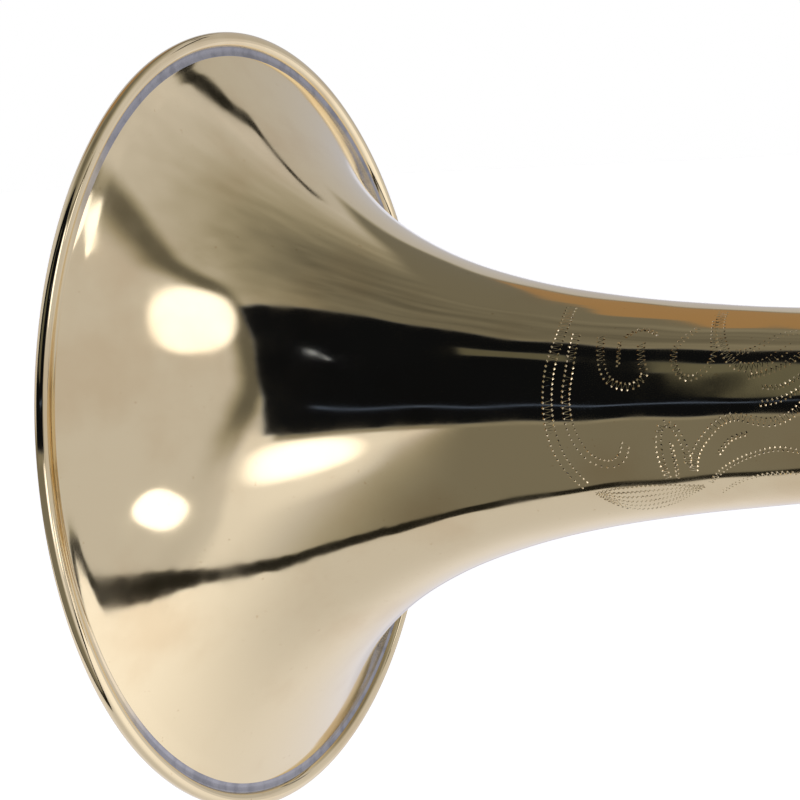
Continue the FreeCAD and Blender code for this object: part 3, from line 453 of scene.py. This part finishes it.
def rim_seam(skin):
    """Solder in the corner between the rolled edge and the bell, reaching in to the wire."""
    angle = np.array((math.cos(SOLDER_LIP), math.sin(SOLDER_LIP)))
    lip = bead_centre() + (BEAD_WIRE + SHEET) * angle
    foot = np.array((SEAM_FOOT, bell_radius(SEAM_FOOT) + LIP_HEIGHT))
    t = np.linspace(0, 1, 9)[:, None]
    face = lip + (foot - lip) * t - np.array((SOLDER_HOLLOW, 0)) * np.sin(math.pi * t)
    x = np.linspace(SEAM_FOOT, BELL_START + 0.2 * MM, 6)
    under = np.stack((x - 0.05 * MM, bell_radius(x) - 0.03 * MM), 1)
    outline = np.concatenate((face, under, [bead_centre()]))
    return turned("rim_solder", [(outline, (0, 0, 0))], BELL_STEPS, skin)


def swept(name, centres, directions, outer, wall, skin, steps=72):
    """An open-ended tube through centres, square to directions, with a wall that has thickness."""
    rings = []
    for reverse, depth in ((False, 0.0), (True, wall)):
        order = range(len(centres))
        for i in (reversed(order) if reverse else order):
            way = directions[i].normalized()
            other = Vector((0, 1, 0)) if abs(way.y) < 0.9 else Vector((0, 0, 1))
            side = way.cross(other).normalized()
            up = side.cross(way)
            radius = outer[i] - depth
            for k in range(steps):
                turn = 2 * math.pi * k / steps
                rings.append(centres[i] + (side * math.cos(turn) + up * math.sin(turn)) * radius)
    return mesh_piece(name, rings, ring_grid(2 * len(centres), steps), skin)


def bow(name, start, end, reach, radii, skin, count=90):
    """A half circle from start to end that bulges along reach, tapering between two radii."""
    middle = (start + end) / 2
    arm = start - middle
    out = reach.normalized() * arm.length
    centres, directions, outer = [], [], []
    for i in range(count + 1):
        turn = math.pi * i / count
        centres.append(middle + arm * math.cos(turn) + out * math.sin(turn))
        directions.append(-arm * math.sin(turn) + out * math.cos(turn))
        outer.append(radii[0] + (radii[1] - radii[0]) * i / count)
    return swept(name, centres, directions, outer, TUBE_WALL, skin)


def straight(name, start, end, radii, skin, count=12):
    way = end - start
    centres = [start + way * i / count for i in range(count + 1)]
    outer = [radii[0] + (radii[1] - radii[0]) * i / count for i in range(count + 1)]
    return swept(name, centres, [way] * (count + 1), outer, TUBE_WALL, skin)


def wrap(skin):
    """The four tubes that carry the bell's tail round to the third valve.

    The last one's end is cut to the shape of the casing that it meets.
    """
    tail = Vector((BELL_END, 0, 0))
    low = Vector((BELL_END, 0, BRANCH_Z))
    front_low = Vector((FRONT_X, 0, BRANCH_Z))
    front_high = Vector((FRONT_X, VALVE_Y, LOWER_PORT))
    third_x = VALVE_X[2]
    casing = Vector((third_x - CASING_R + 2.2 * MM, VALVE_Y, LOWER_PORT))
    tail_r = float(bell_radius(BELL_END))
    made = {
        "rear_bow": bow("rear_bow_tube", tail, low, Vector((1, 0, 0)),
                        (tail_r, BRANCH_START_R), skin),
        "lower_branch": straight("lower_branch_tube", low, front_low,
                                 (BRANCH_START_R, BRANCH_END_R), skin),
        "front_bow": bow("front_bow_tube", front_low, front_high, Vector((-1, 0, 0)),
                         (BRANCH_END_R, FRONT_R), skin),
        "front_branch": straight("front_branch_tube", front_high, casing,
                                 (FRONT_R, FRONT_R), skin),
    }
    for corner in made["front_branch"].data.vertices:
        across = corner.co.y - VALVE_Y
        corner.co.x = min(corner.co.x, third_x - math.sqrt(CASING_R ** 2 - across ** 2))
    for node, piece in made.items():
        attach(piece, "horn")
        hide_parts(node)


# --- mouthpiece, caps, buttons, felts and corks ------------------------------

def turnery(name, pieces, node, body, skins, slot, easing, steps=96, sway=None, upright=True,
            longest=None):
    """A piece turned from (outline in mm, place in mm) pairs, in place of a CAD node."""
    turnings = []
    for outline, place in pieces:
        line = eased(np.array(outline) * MM, easing * MM)
        if longest is not None:
            line = divided(line, longest * MM)
        turnings.append((line, np.array(place) * MM))
    made = turned(name, turnings, steps, skins[slot], sway, upright)
    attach(made, body)
    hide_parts(node)


def flutes(low, high):
    """Shallow finger flutes round a cap, between two heights in mm."""
    def sway(along, turn):
        pitch = 2 * math.pi / FLUTES
        off = np.abs((turn + pitch / 2) % pitch - pitch / 2)
        depth = np.clip(1 - (off / FLUTE_HALF) ** 2, 0, 1)
        ends = np.clip((along / MM - low) / 0.5, 0, 1) * np.clip((high - along / MM) / 0.5, 0, 1)
        return -FLUTE_DEPTH * depth * ends
    return sway


def fluff(along, turn):
    """Uneven pressed felt."""
    return 0.07 * MM * np.sin(7 * turn + 1.3 * along / MM) * np.sin(11 * turn - 2.1 * along / MM)


def pitted(along, turn):
    """Worn cork."""
    return 0.06 * MM * np.sin(9 * turn + 3.0 * along / MM) * np.sin(4 * turn - 5.0 * along / MM)


def mouth_end(skins):
    """Silver mouthpiece and the socket that it sits in."""
    line = (0, VALVE_Y / MM, UPPER_PORT / MM)
    cup = [(438.0, 3.6), (438.0, 4.38), (463.5, 4.96), (464.0, 5.5), (465.4, 5.7), (466.0, 5.35),
           (471.0, 6.0), (475.5, 7.6), (480.0, 9.9), (485.0, 11.1), (493.0, 11.7), (496.6, 12.1),
           (497.2, 13.0), (498.5, 13.4), (501.0, 13.4), (502.9, 12.6), (503.0, 11.4),
           (503.0, 10.0), (501.9, 8.9), (500.0, 8.3), (494.0, 7.6), (487.0, 6.2), (481.0, 3.6),
           (478.5, 2.3), (475.5, 1.95), (471.0, 1.95)]
    turnery("mouthpiece_cup", [(cup, line)], "mouthpiece", "mouthpiece", skins, "silver_plate",
            3.0, 128, upright=False)
    socket = [(424.0, 6.2), (424.0, 6.6), (428.0, 7.0), (430.0, 7.5), (431.2, 7.5), (431.4, 7.9),
              (432.6, 7.9), (432.8, 7.5), (446.0, 7.35), (453.6, 7.4), (453.9, 7.9), (454.9, 7.9),
              (455.3, 7.5), (456.0, 7.6), (456.4, 8.3), (459.6, 8.3), (460.0, 7.9), (460.0, 4.97),
              (437.0, 4.45), (432.0, 4.4), (432.0, 6.2)]
    turnery("mouthpiece_socket", [(socket, line)], "mouthpiece_receiver", "leadpipe", skins,
            "tube_brass", 0.4, 128, upright=False)


def valve_ends(skins):
    """Caps and felts of the three valves, and the finger buttons with their pearls."""
    places = [(x / MM, VALVE_Y / MM, 0) for x in VALVE_X]
    top = [(17.0, 10.2), (17.0, 12.0), (26.4, 12.0), (27.0, 11.4), (28.0, 11.0), (29.0, 10.4),
           (29.1, 7.4), (29.6, 6.6), (31.0, 6.4), (31.0, 2.3), (25.0, 2.3), (25.0, 10.2)]
    turnery("top_caps_fluted", [(top, place) for place in places], "top_caps", "horn", skins,
            "nickel_silver", 0.3, 288, flutes(18.0, 25.0), longest=0.8)
    bottom = [(-78.0, 10.2), (-78.0, 12.0), (-91.2, 12.0), (-91.8, 11.3), (-93.0, 10.4), (-93.0, 2.0),
              (-91.5, 2.0), (-91.5, 8.55), (-88.0, 8.55), (-88.0, 10.2)]
    turnery("bottom_caps_fluted", [(bottom, place) for place in places], "bottom_caps", "horn",
            skins, "nickel_silver", 0.3, 288, flutes(-90.0, -80.0), longest=0.8)
    under = [(21.7, 2.5), (21.7, 5.8), (24.8, 5.8), (24.8, 2.5)]
    over = [(31.05, 2.5), (31.05, 5.4), (33.3, 5.4), (33.3, 2.5)]
    turnery("valve_felts", [(felt, place) for place in places for felt in (under, over)],
            "cap_felts", "horn", skins, "felt", 0.7, 96, fluff, longest=0.3)
    button = [(51.0, 1.5), (51.0, 3.3), (52.8, 3.4), (54.0, 4.4), (54.5, 5.6), (54.7, 6.9),
              (55.4, 7.5), (57.2, 7.5), (57.9, 7.1), (58.0, 6.5), (57.8, 6.05), (56.6, 6.0),
              (56.6, 0.0), (53.0, 0.0), (53.0, 1.5)]
    dome = [(58.5 - r * r / 60, r) for r in (5.4, 4.4, 3.3, 2.2, 1.1, 0.0)]
    pearl = [(56.65, 0.0), (56.65, 5.95), (57.85, 5.95)] + dome
    for number, place in enumerate(places, 1):
        turnery(f"finger_button_{number}", [(button, place)], f"button_{number}",
                f"valve_{number}", skins, "nickel_silver", 0.35)
        turnery(f"pearl_inlay_{number}", [(pearl, place)], f"pearl_{number}",
                f"valve_{number}", skins, "pearl", 0.3)


def valve_springs(skins):
    """Each valve's return spring, a helix."""
    steps, per_turn = 12, 28
    angles = np.arange(SPRING_TURNS * per_turn + 1) * 2 * math.pi / per_turn
    rise = (SPRING_TOP - SPRING_BOTTOM - 2 * SPRING_WIRE) / angles[-1]
    inner = np.arange(0, len(angles) * steps, steps)[:, None] + np.arange(steps)
    around = np.roll(inner, -1, axis=1)
    sides = np.stack((inner[:-1], inner[1:], around[1:], around[:-1]), axis=-1).reshape(-1, 4)
    faces = [tuple(face) for face in sides] + [tuple(inner[0]), tuple(inner[-1][::-1])]
    turn = np.arange(steps) * 2 * math.pi / steps
    lean = math.atan2(rise, SPRING_R)
    for number, x in enumerate(VALVE_X, 1):
        points = []
        for angle in angles:
            out = np.array((math.cos(angle), math.sin(angle), 0))
            above = np.array((math.sin(angle) * math.sin(lean), -math.cos(angle) * math.sin(lean),
                              math.cos(lean)))
            middle = np.array((x, VALVE_Y, SPRING_BOTTOM + SPRING_WIRE + rise * angle))
            middle += out * SPRING_R
            points += [middle + SPRING_WIRE * (out * math.cos(t) + above * math.sin(t)) for t in turn]
        piece = mesh_piece(f"return_spring_{number}", points, faces, skins["spring_steel"])
        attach(piece, "horn")
        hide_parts(f"spring_{number}")
        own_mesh(piece)


def key_corks(skins):
    pad = [(0.05, 0.0), (0.05, 2.65), (1.2, 2.6), (1.9, 2.45), (1.9, 0.0)]
    for number, place in enumerate(KEY_CORKS, 1):
        turnery(f"key_cork_{number}", [(pad, place)], f"water_key_{number}_cork",
                f"water_key_{number}", skins, "cork", 0.25, 64, pitted, longest=0.25)


# --- engraving ---------------------------------------------------------------
# Wriggle-cut scrollwork: a graver rocked to and fro leaves fine strokes with a deep nick at each
# end. Lines are (width, points), drawn flat in millimetres along the bell and round it from its
# left side, for the half towards the mouth. The other half is their mirror image.

COLLAR_SCROLLS = (
    (2.3, ((80, 26), (80.5, 21), (80.5, 16), (80, 10), (80, 4), (80.5, -2), (82, -8), (85, -14))),
    (2.0, ((83.5, 18), (83.8, 10), (83.6, 4), (84.5, -2), (87, -7), (90.5, -8.7), (93.3, -7.5),
           (94.8, -4.5))),
)
SCROLLS = (
    (1.7, ((88.5, 17), (89.8, 11), (92, 7.2), (96, 6), (98.6, 8), (97.5, 11.5), (96.8, 15))),
    (0.9, ((92.5, 15.5), (93.3, 9.8))),
    (0.9, ((93, 16.5), (96, 18.5), (99.5, 17))),
    (1.5, ((107, 18.5), (104, 14), (104.3, 10), (106.7, 7.4), (109.7, 8), (111.7, 11), (111, 15),
           (109.5, 21))),
    (2.1, ((109.5, 25), (111, 19), (113, 14), (115.4, 10.4), (118.5, 9), (122.5, 10), (127, 13.5))),
    (1.5, ((116, 12), (119.6, 13), (124, 16.2), (129.5, 17))),
    (1.5, ((119, 7.2), (123.5, 8.2), (128, 10.5), (131, 14))),
    (1.1, ((122, 5.2), (126, 5.2), (131, 8))),
    (1.6, ((101.2, -12.5), (101, -6), (102.2, -1.4), (104.6, -2), (106.2, -6), (106, -10))),
    (0.9, ((103.6, -4.5), (103.5, -9.5), (103, -12.5))),
    (1.9, ((106.6, -11), (108.2, -6.8), (111, -3.4), (114, -1), (117, -0.2), (120.5, -1),
           (124, -1.4), (128, 0), (131, 2.5))),
    (1.0, ((112.3, -7.5), (115.4, -4.5), (119, -3.4))),
    (1.3, ((121.5, 2), (126, 2.8), (131, 5.2))),
    (1.2, ((109, -14), (112.5, -10.8), (118, -8), (124.6, -6.6), (131, -8))),
    (1.0, ((110, -17), (116, -13.5), (124, -12), (131, -13.5))),
)
SCROLL_MIDDLE = 131.0
CRESCENT_ENDS = ((86, -15.6), (107.5, -14.8))
CRESCENTS = 6
CRESCENT_STEP = 1.3
CRESCENT_WIDTH = 0.8
CRESCENT_PITCH = 0.9
STROKE_PITCH = 1.0
COLLAR_NICK = 1.25
NICK_HEIGHT = 0.115
NICK_HALF = 0.26
NICK_LENGTH = 0.55
HAIR_HEIGHT = 0.014
HAIR_HALF = 0.08


def on_bell(x_mm, round_mm):
    """The bell's surface point and outward direction at a place given flat."""
    x = x_mm * MM
    radius = float(bell_radius(x))
    turn = round_mm * MM / radius
    out = Vector((0, -math.cos(turn), math.sin(turn)))
    slope = float(bell_angle(x))
    normal = (out * math.cos(slope) + Vector((-math.sin(slope), 0, 0))).normalized()
    return Vector((x, 0, 0)) + out * radius, normal


def cut(points, faces, start, end, half_width, height):
    """One mark: a slim eight-sided lens, half sunk in the surface."""
    first, _ = on_bell(*start)
    last, _ = on_bell(*end)
    middle, normal = on_bell((start[0] + end[0]) / 2, (start[1] + end[1]) / 2)
    side = normal.cross(last - first).normalized()
    base = len(points)
    points.extend((first, last, middle + side * half_width * MM, middle - side * half_width * MM,
                   middle + normal * height * MM, middle - normal * height * MM))
    for a, b in ((0, 2), (2, 1), (1, 3), (3, 0)):
        faces.append((base + a, base + b, base + 4))
        faces.append((base + b, base + a, base + 5))


def curved(line, steps=12):
    """Flat points along a smooth curve through the given ones."""
    ends = [line[0], *line, line[-1]]
    points = []
    for a, b, c, d in zip(ends, ends[1:], ends[2:], ends[3:]):
        for i in range(steps):
            t = i / steps
            points.append(tuple(
                0.5 * (2 * q + (r - p) * t + (2 * p - 5 * q + 4 * r - s) * t * t
                       + (3 * q - p - 3 * r + s) * t ** 3)
                for p, q, r, s in zip(a, b, c, d)))
    return points + [line[-1]]


def wriggle(points, faces, line, width, pitch, nick):
    """Strokes rocked to and fro across a line of flat points, two to a pitch."""
    travelled, side, last = 0.0, 1, None
    for start, end in zip(line, line[1:]):
        length = math.dist(start, end)
        if length == 0:
            continue
        way = ((end[0] - start[0]) / length, (end[1] - start[1]) / length)
        while travelled <= length:
            edge = (start[0] + way[0] * travelled - way[1] * side * width / 2,
                    start[1] + way[1] * travelled + way[0] * side * width / 2)
            if last is not None:
                cut(points, faces, last, edge, HAIR_HALF, HAIR_HEIGHT)
                share = NICK_LENGTH / math.dist(edge, last)
                tail = tuple(here - (here - before) * share for here, before in zip(edge, last))
                cut(points, faces, tail, edge, NICK_HALF * nick, NICK_HEIGHT * nick)
            last = edge
            side = -side
            travelled += pitch / 2
        travelled -= length


def engraving(skin):
    """Two collars and the scrolls between them, with crescents below."""
    lines = [(line, width, STROKE_PITCH, COLLAR_NICK) for width, line in COLLAR_SCROLLS]
    lines += [(line, width, STROKE_PITCH, 1.0) for width, line in SCROLLS]
    first, last = CRESCENT_ENDS
    for i in range(CRESCENTS):
        belly = first[1] - CRESCENT_STEP * i + 1.0
        line = (first, (91, belly), (98, belly + 0.4), last)
        lines.append((line, CRESCENT_WIDTH, CRESCENT_PITCH, 1.0))
    points, faces = [], []
    for line, width, pitch, nick in lines:
        mirrored = tuple((2 * SCROLL_MIDDLE - x, away) for x, away in line)
        for half in (line, mirrored):
            wriggle(points, faces, curved(half), width, pitch, nick)
    piece = mesh_piece("bell_engraving", points, faces, skin, smooth=False)
    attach(piece, "horn")


# --- studio ------------------------------------------------------------------

class Studio:
    """Soft studio surroundings, painted by the direction they are seen in.

    A direction is (x, front, up), front being the horn's left side. Below the horizon it also has
    the place where it meets a level table one unit down. Each area is painted over the ones
    before it: a mask, a brightness, and for some a tint.
    """

    def __init__(self, graph):
        self.graph = graph
        self.way = graph.node("ShaderNodeTexCoord").outputs["Generated"]
        split = graph.node("ShaderNodeSeparateXYZ")
        graph.feed(split.inputs[0], self.way)
        self.x, y, self.up = split.outputs
        self.front = graph.math("MULTIPLY", y, -1.0)
        self.ripple = graph.math("SUBTRACT", graph.noise(self.way, 5.0, 2.0), 0.5)
        self.fine = graph.math("SUBTRACT", graph.noise(self.way, 16.0, 3.0), 0.5)
        down = graph.math("MAXIMUM", graph.math("MULTIPLY", self.up, -1.0), 0.02)
        self.table_x = graph.math("DIVIDE", self.x, down)
        self.table_front = graph.math("MULTIPLY_ADD", self.fine, 0.07,
                                      graph.math("DIVIDE", self.front, down))
        self.tints = []

    def beyond(self, *edges):
        """A mask that rises smoothly across every (value, from, to)."""
        return self.graph.times(*(self.graph.step(*edge) for edge in edges))

    def patch(self, parts, at, half, tilt, soft, *edges):
        """A rounded patch in two of the direction's parts, with a soft edge between two sizes."""
        graph = self.graph
        across, above = (graph.math("SUBTRACT", part, middle) for part, middle in zip(parts, at))
        turned_parts = (graph.math("MULTIPLY_ADD", above, tilt, across),
                        graph.math("MULTIPLY_ADD", across, -tilt, above))
        reach = [graph.math("POWER", graph.math("ABSOLUTE", graph.math("DIVIDE", part, size)), 2.5)
                 for part, size in zip(turned_parts, half)]
        inside = graph.step(graph.math("ADD", *reach), soft[1], soft[0])
        return graph.times(inside, self.beyond(*edges))

    def paint(self, mask, level, tint=None):
        self.level = self.graph.blend(mask, self.level, level)
        if tint is not None:
            self.tints.append((mask, tint))

    def overhead(self):
        """Dim at the top, paler towards the horizon, with faint streaks."""
        graph = self.graph
        streaks = graph.noise(graph.stretch(self.way, (1.0, 6.0, 6.0)), 2.2, 3.0)
        self.level = graph.math("ADD", graph.step(self.up, 1.0, 0.50, 0.15, 0.62),
                                graph.math("MULTIPLY_ADD", streaks, 0.20, -0.10))

    def far_side(self):
        """Pale wall behind the horn under a dark rail, and a dark corner towards the bell's mouth."""
        graph, x = self.graph, self.x
        height = graph.math("MULTIPLY_ADD", self.front, -0.72, graph.step(x, 0.22, 0.07, -0.015, 0.125))
        height = graph.math("SUBTRACT", height, graph.step(x, 0.30, 0.20, 0.008, 0.040))
        height = graph.math("MULTIPLY_ADD", self.fine, 0.035, height)
        rail = graph.math("SUBTRACT", self.up, height)
        behind = (self.front, -0.62, -0.68)
        self.paint(self.beyond(behind, (rail, 0.008, -0.008), (x, 0.50, 0.44)), 0.50)
        half = graph.math("ADD", graph.step(x, 0.03, 0.12, 0.010, 0.028),
                          graph.step(x, 0.26, 0.34, 0.0, 0.016))
        off = graph.math("DIVIDE", graph.math("ABSOLUTE", rail), half)
        self.paint(self.beyond(behind, (off, 1.2, 0.8), (x, 0.48, 0.44), (x, 0.03, 0.07)), 0.012)
        self.paint(self.beyond((x, -0.02, -0.10), (self.front, -0.15, -0.3), (self.up, 0.47, 0.54)), 0.16)

    def ground(self):
        """Taupe floor of the room, lighter towards the player, and a pale strip behind the horn."""
        self.paint(self.graph.step(self.up, 0.03, -0.06),
                   self.graph.step(self.table_x, -0.05, 1.15, 0.18, 0.80))
        self.paint(self.beyond((self.front, -0.35, -0.55), (self.up, 0.03, -0.03),
                               (self.up, -0.40, -0.20)), 0.66)

    def near_wall(self):
        """Pale wall towards the player, shaded along its outline."""
        graph, front, up = self.graph, self.front, self.up
        notch = self.beyond((front, -0.02, 0.22), (up, -0.3, 0.5))
        outline = graph.math("MULTIPLY_ADD", notch, -0.105,
                             graph.math("MULTIPLY_ADD", front, -0.03, 0.795))
        outline = graph.math("MULTIPLY_ADD", self.ripple, 0.03, outline)
        inside = graph.math("SUBTRACT", self.x, outline)
        self.paint(self.beyond((inside, -0.01, 0.06), (up, -0.75, -0.60)), 0.58)
        shade = self.beyond((inside, -0.062, -0.015), (inside, 0.072, 0.006),
                            (up, -0.75, -0.55), (front, -0.42, -0.25))
        self.paint(graph.times(shade, graph.step(up, -0.35, 0.15, 0.28, 0.95)), 0.095)

    def sheet(self):
        """White sheet on the table, with a dark gap at its edge that widens towards the player."""
        graph, front = self.graph, self.table_front
        past_sheet = graph.math("SUBTRACT", front, graph.step(self.table_x, 0.95, 1.95, 0.165, -0.15))
        past_gap = graph.math("SUBTRACT", front, graph.step(self.table_x, 1.25, 2.45, 0.285, -0.02))
        low = (self.up, -0.20, -0.30)
        level = graph.math("ADD", graph.step(self.up, -0.98, -0.60, 0.31, 0.48),
                           graph.step(self.x, 0.25, 0.90, 0.30, 0.60))
        self.paint(self.beyond((past_sheet, 0.008, -0.008), low), level)
        self.paint(self.beyond((past_gap, 0.012, -0.012), (past_sheet, -0.012, 0.012), low), 0.015)

    def lamps(self):
        """Four soft boxes. The second has a glow round it and a dim ledge above it."""
        x, front, up = self.x, self.front, self.up
        ahead = (front, 0.3, 0.5)
        near = (x, 0.5, 0.7)
        self.paint(self.patch((front, up), (0.29, 0.52), (0.185, 0.255), 1.0, (0.65, 1.35),
                              (x, 0.66, 0.69), (x, -0.2, 0.3)), 1.7)
        self.paint(self.patch((x, up), (0.47, -0.36), (0.27, 0.28), 0.0, (0.0, 1.2), ahead), 0.85)
        self.paint(self.beyond((front, 0.3, 0.4), (up, -0.125, -0.095), (x, 0.64, 0.60)), 0.24)
        self.paint(self.patch((x, up), (0.50, -0.275), (0.20, 0.165), 0.0, (0.20, 1.45), ahead), 1.9)
        self.paint(self.patch((front, up), (0.31, -0.35), (0.095, 0.095), 0.5, (0.85, 1.25), near), 1.9)
        self.paint(self.patch((front, up), (-0.185, 0.462), (0.095, 0.038), -0.4, (0.8, 1.3), near), 1.7)

    def dark_room(self):
        """Dark front of the room, with a dim window, a lit pane, a thin blue line and a glint."""
        graph, x, front, up = self.graph, self.x, self.front, self.up
        self.paint(self.beyond((graph.math("MULTIPLY_ADD", self.ripple, 0.03, x), 0.67, 0.645),
                               (graph.math("MULTIPLY_ADD", self.ripple, 0.05, front), 0.285, 0.315),
                               (graph.math("MULTIPLY_ADD", self.fine, 0.03, up), -0.07, -0.045)),
                   0.006, (0.7, 0.85, 1.3))
        glass = (0.98, 1.0, 0.84)
        self.paint(self.beyond((front, 0.495, 0.515), (front, 0.60, 0.58), (x, -0.215, -0.20),
                               (x, -0.022, -0.036), (up, 0.7, 0.75)), 0.11, glass)
        sill = graph.math("SUBTRACT", up, graph.step(x, -0.290, -0.306, 0.665, 0.26))
        self.paint(self.beyond((x, -0.26, -0.272), (front, 0.53, 0.56), (sill, -0.012, 0.012)),
                   0.125, glass)
        self.paint(self.beyond((up, 0.160, 0.170), (up, 0.190, 0.180), (x, -0.35, -0.30),
                               (x, 0.50, 0.45), (front, 0.5, 0.6)), 0.12, (0.6, 0.9, 1.9))
        self.paint(self.patch((x, up), (0.44, 0.62), (0.05, 0.02), 0.5, (0.6, 1.3), (front, 0.3, 0.5),
                              (graph.noise(self.way, 60.0, 1.0), 0.5, 0.56)), 0.9)

    def backdrop(self):
        """White backdrop beyond the horn, and an orange strip with a ragged end above it."""
        graph, x, front, up = self.graph, self.x, self.front, self.up
        self.paint(self.patch((x, up), (-0.475, 0.03), (0.17, 0.10), 0.0, (0.3, 1.3),
                              (front, -0.5, -0.7)), 0.8, (0.95, 0.98, 1.14))
        ragged = graph.math("MULTIPLY_ADD", self.fine, 0.05, front)
        past_end = graph.math("SUBTRACT", ragged, graph.step(x, -0.33, -0.35, -0.39, -0.24))
        self.paint(self.beyond((graph.math("MULTIPLY_ADD", self.fine, 0.02, x), -0.292, -0.306),
                               (past_end, 0.015, -0.015), (up, 0.51, 0.55)),
                   0.27, (1.25, 0.82, 0.46))

    def light(self):
        """The brightness in colour: warm where it is dim, cool where it is bright, then the tints."""
        graph = self.graph
        tone = graph.colour(graph.step(self.level, 0.25, 0.60), rgba((1.02, 1.0, 0.93)),
                            rgba((0.99, 1.0, 1.15)))
        for mask, tint in self.tints:
            tone = graph.colour(mask, tone, rgba(tint))
        lit = graph.node("ShaderNodeVectorMath", operation="SCALE")
        graph.feed(lit.inputs[0], tone)
        graph.feed(lit.inputs["Scale"], self.level)
        return lit.outputs[0]


def studio_light():
    """The studio as the world's light, seen only in reflections: the view past the horn is white."""
    world = bpy.data.worlds.new("studio")
    bpy.context.scene.world = world
    world.use_nodes = True
    graph = Graph(world.node_tree)
    studio = Studio(graph)
    for area in (studio.overhead, studio.far_side, studio.ground, studio.near_wall, studio.sheet,
                 studio.lamps, studio.dark_room, studio.backdrop):
        area()
    seen = graph.node("ShaderNodeLightPath").outputs["Is Camera Ray"]
    shown = graph.colour(seen, studio.light(), rgba((1.0, 1.0, 1.0)))
    background = graph.node("ShaderNodeBackground")
    graph.feed(background.inputs["Color"], shown)
    output = graph.node("ShaderNodeOutputWorld")
    graph.tree.links.new(background.outputs[0], output.inputs["Surface"])


def floor():
    """A plain pale floor a little way under the horn."""
    made, _, shader = material("floor_white", (0.9, 0.9, 0.9), Roughness=0.9,
                               Emission_Strength=0.75)
    shader.inputs["Emission Color"].default_value = (1, 1, 1, 1)
    height = float(cad_box[0][2]) - FLOOR_GAP
    corners = [(x * FLOOR_HALF, y * FLOOR_HALF, height)
               for x, y in ((-1, -1), (1, -1), (1, 1), (-1, 1))]
    piece = mesh_piece("floor", corners, [(0, 1, 2, 3)], made)
    piece.visible_glossy = False


def key_light():
    """A large soft lamp overhead, for the floor's shadow and the parts that aren't metal."""
    data = bpy.data.lights.new("overhead", "AREA")
    data.shape = "DISK"
    data.size = 1.2
    data.energy = 9.0
    lamp = bpy.data.objects.new("overhead", data)
    lamp.location = (0.1, -0.5, 1.4)
    way = Vector((0.2, 0, 0)) - Vector(lamp.location)
    lamp.rotation_euler = way.to_track_quat("-Z", "Y").to_euler()
    lamp.visible_glossy = False
    bpy.context.collection.objects.link(lamp)


def camera():
    """Left of the bell and a little behind its mouth, level with it, on a long lens."""
    place = Vector((585.6, -1012.6, 84.2)) * MM
    target = Vector((37.5, -1.2, 3.1)) * MM
    roll = math.radians(-3.68)
    data = bpy.data.cameras.new("camera")
    data.lens = 268.6
    data.clip_end = 50.0
    eye = bpy.data.objects.new("camera", data)
    turn = (target - place).to_track_quat("-Z", "Y").to_matrix().to_4x4()
    eye.matrix_world = Matrix.Translation(place) @ turn @ Matrix.Rotation(roll, 4, "Z")
    bpy.context.collection.objects.link(eye)
    bpy.context.scene.camera = eye


# --- the horn ----------------------------------------------------------------

camera()
skins = make_materials()
for part in frame["record"]["subparts"]:
    node = frame["nodes"][part["node"]]
    node.data.materials.clear()
    node.data.materials.append(skins[part["material_slot"]])

sheet = bell(skins["bell_brass"])
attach(sheet, "horn")
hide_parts("bell")
seam = rim_seam(skins["rim_solder"])
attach(seam, "horn")
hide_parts("rim_wire")
engraving(skins["bell_brass"])
wrap(skins["tube_brass"])
mouth_end(skins)
valve_ends(skins)
valve_springs(skins)
key_corks(skins)

studio_light()
floor()
key_light()
bpy.context.scene.view_settings.view_transform = "Standard"
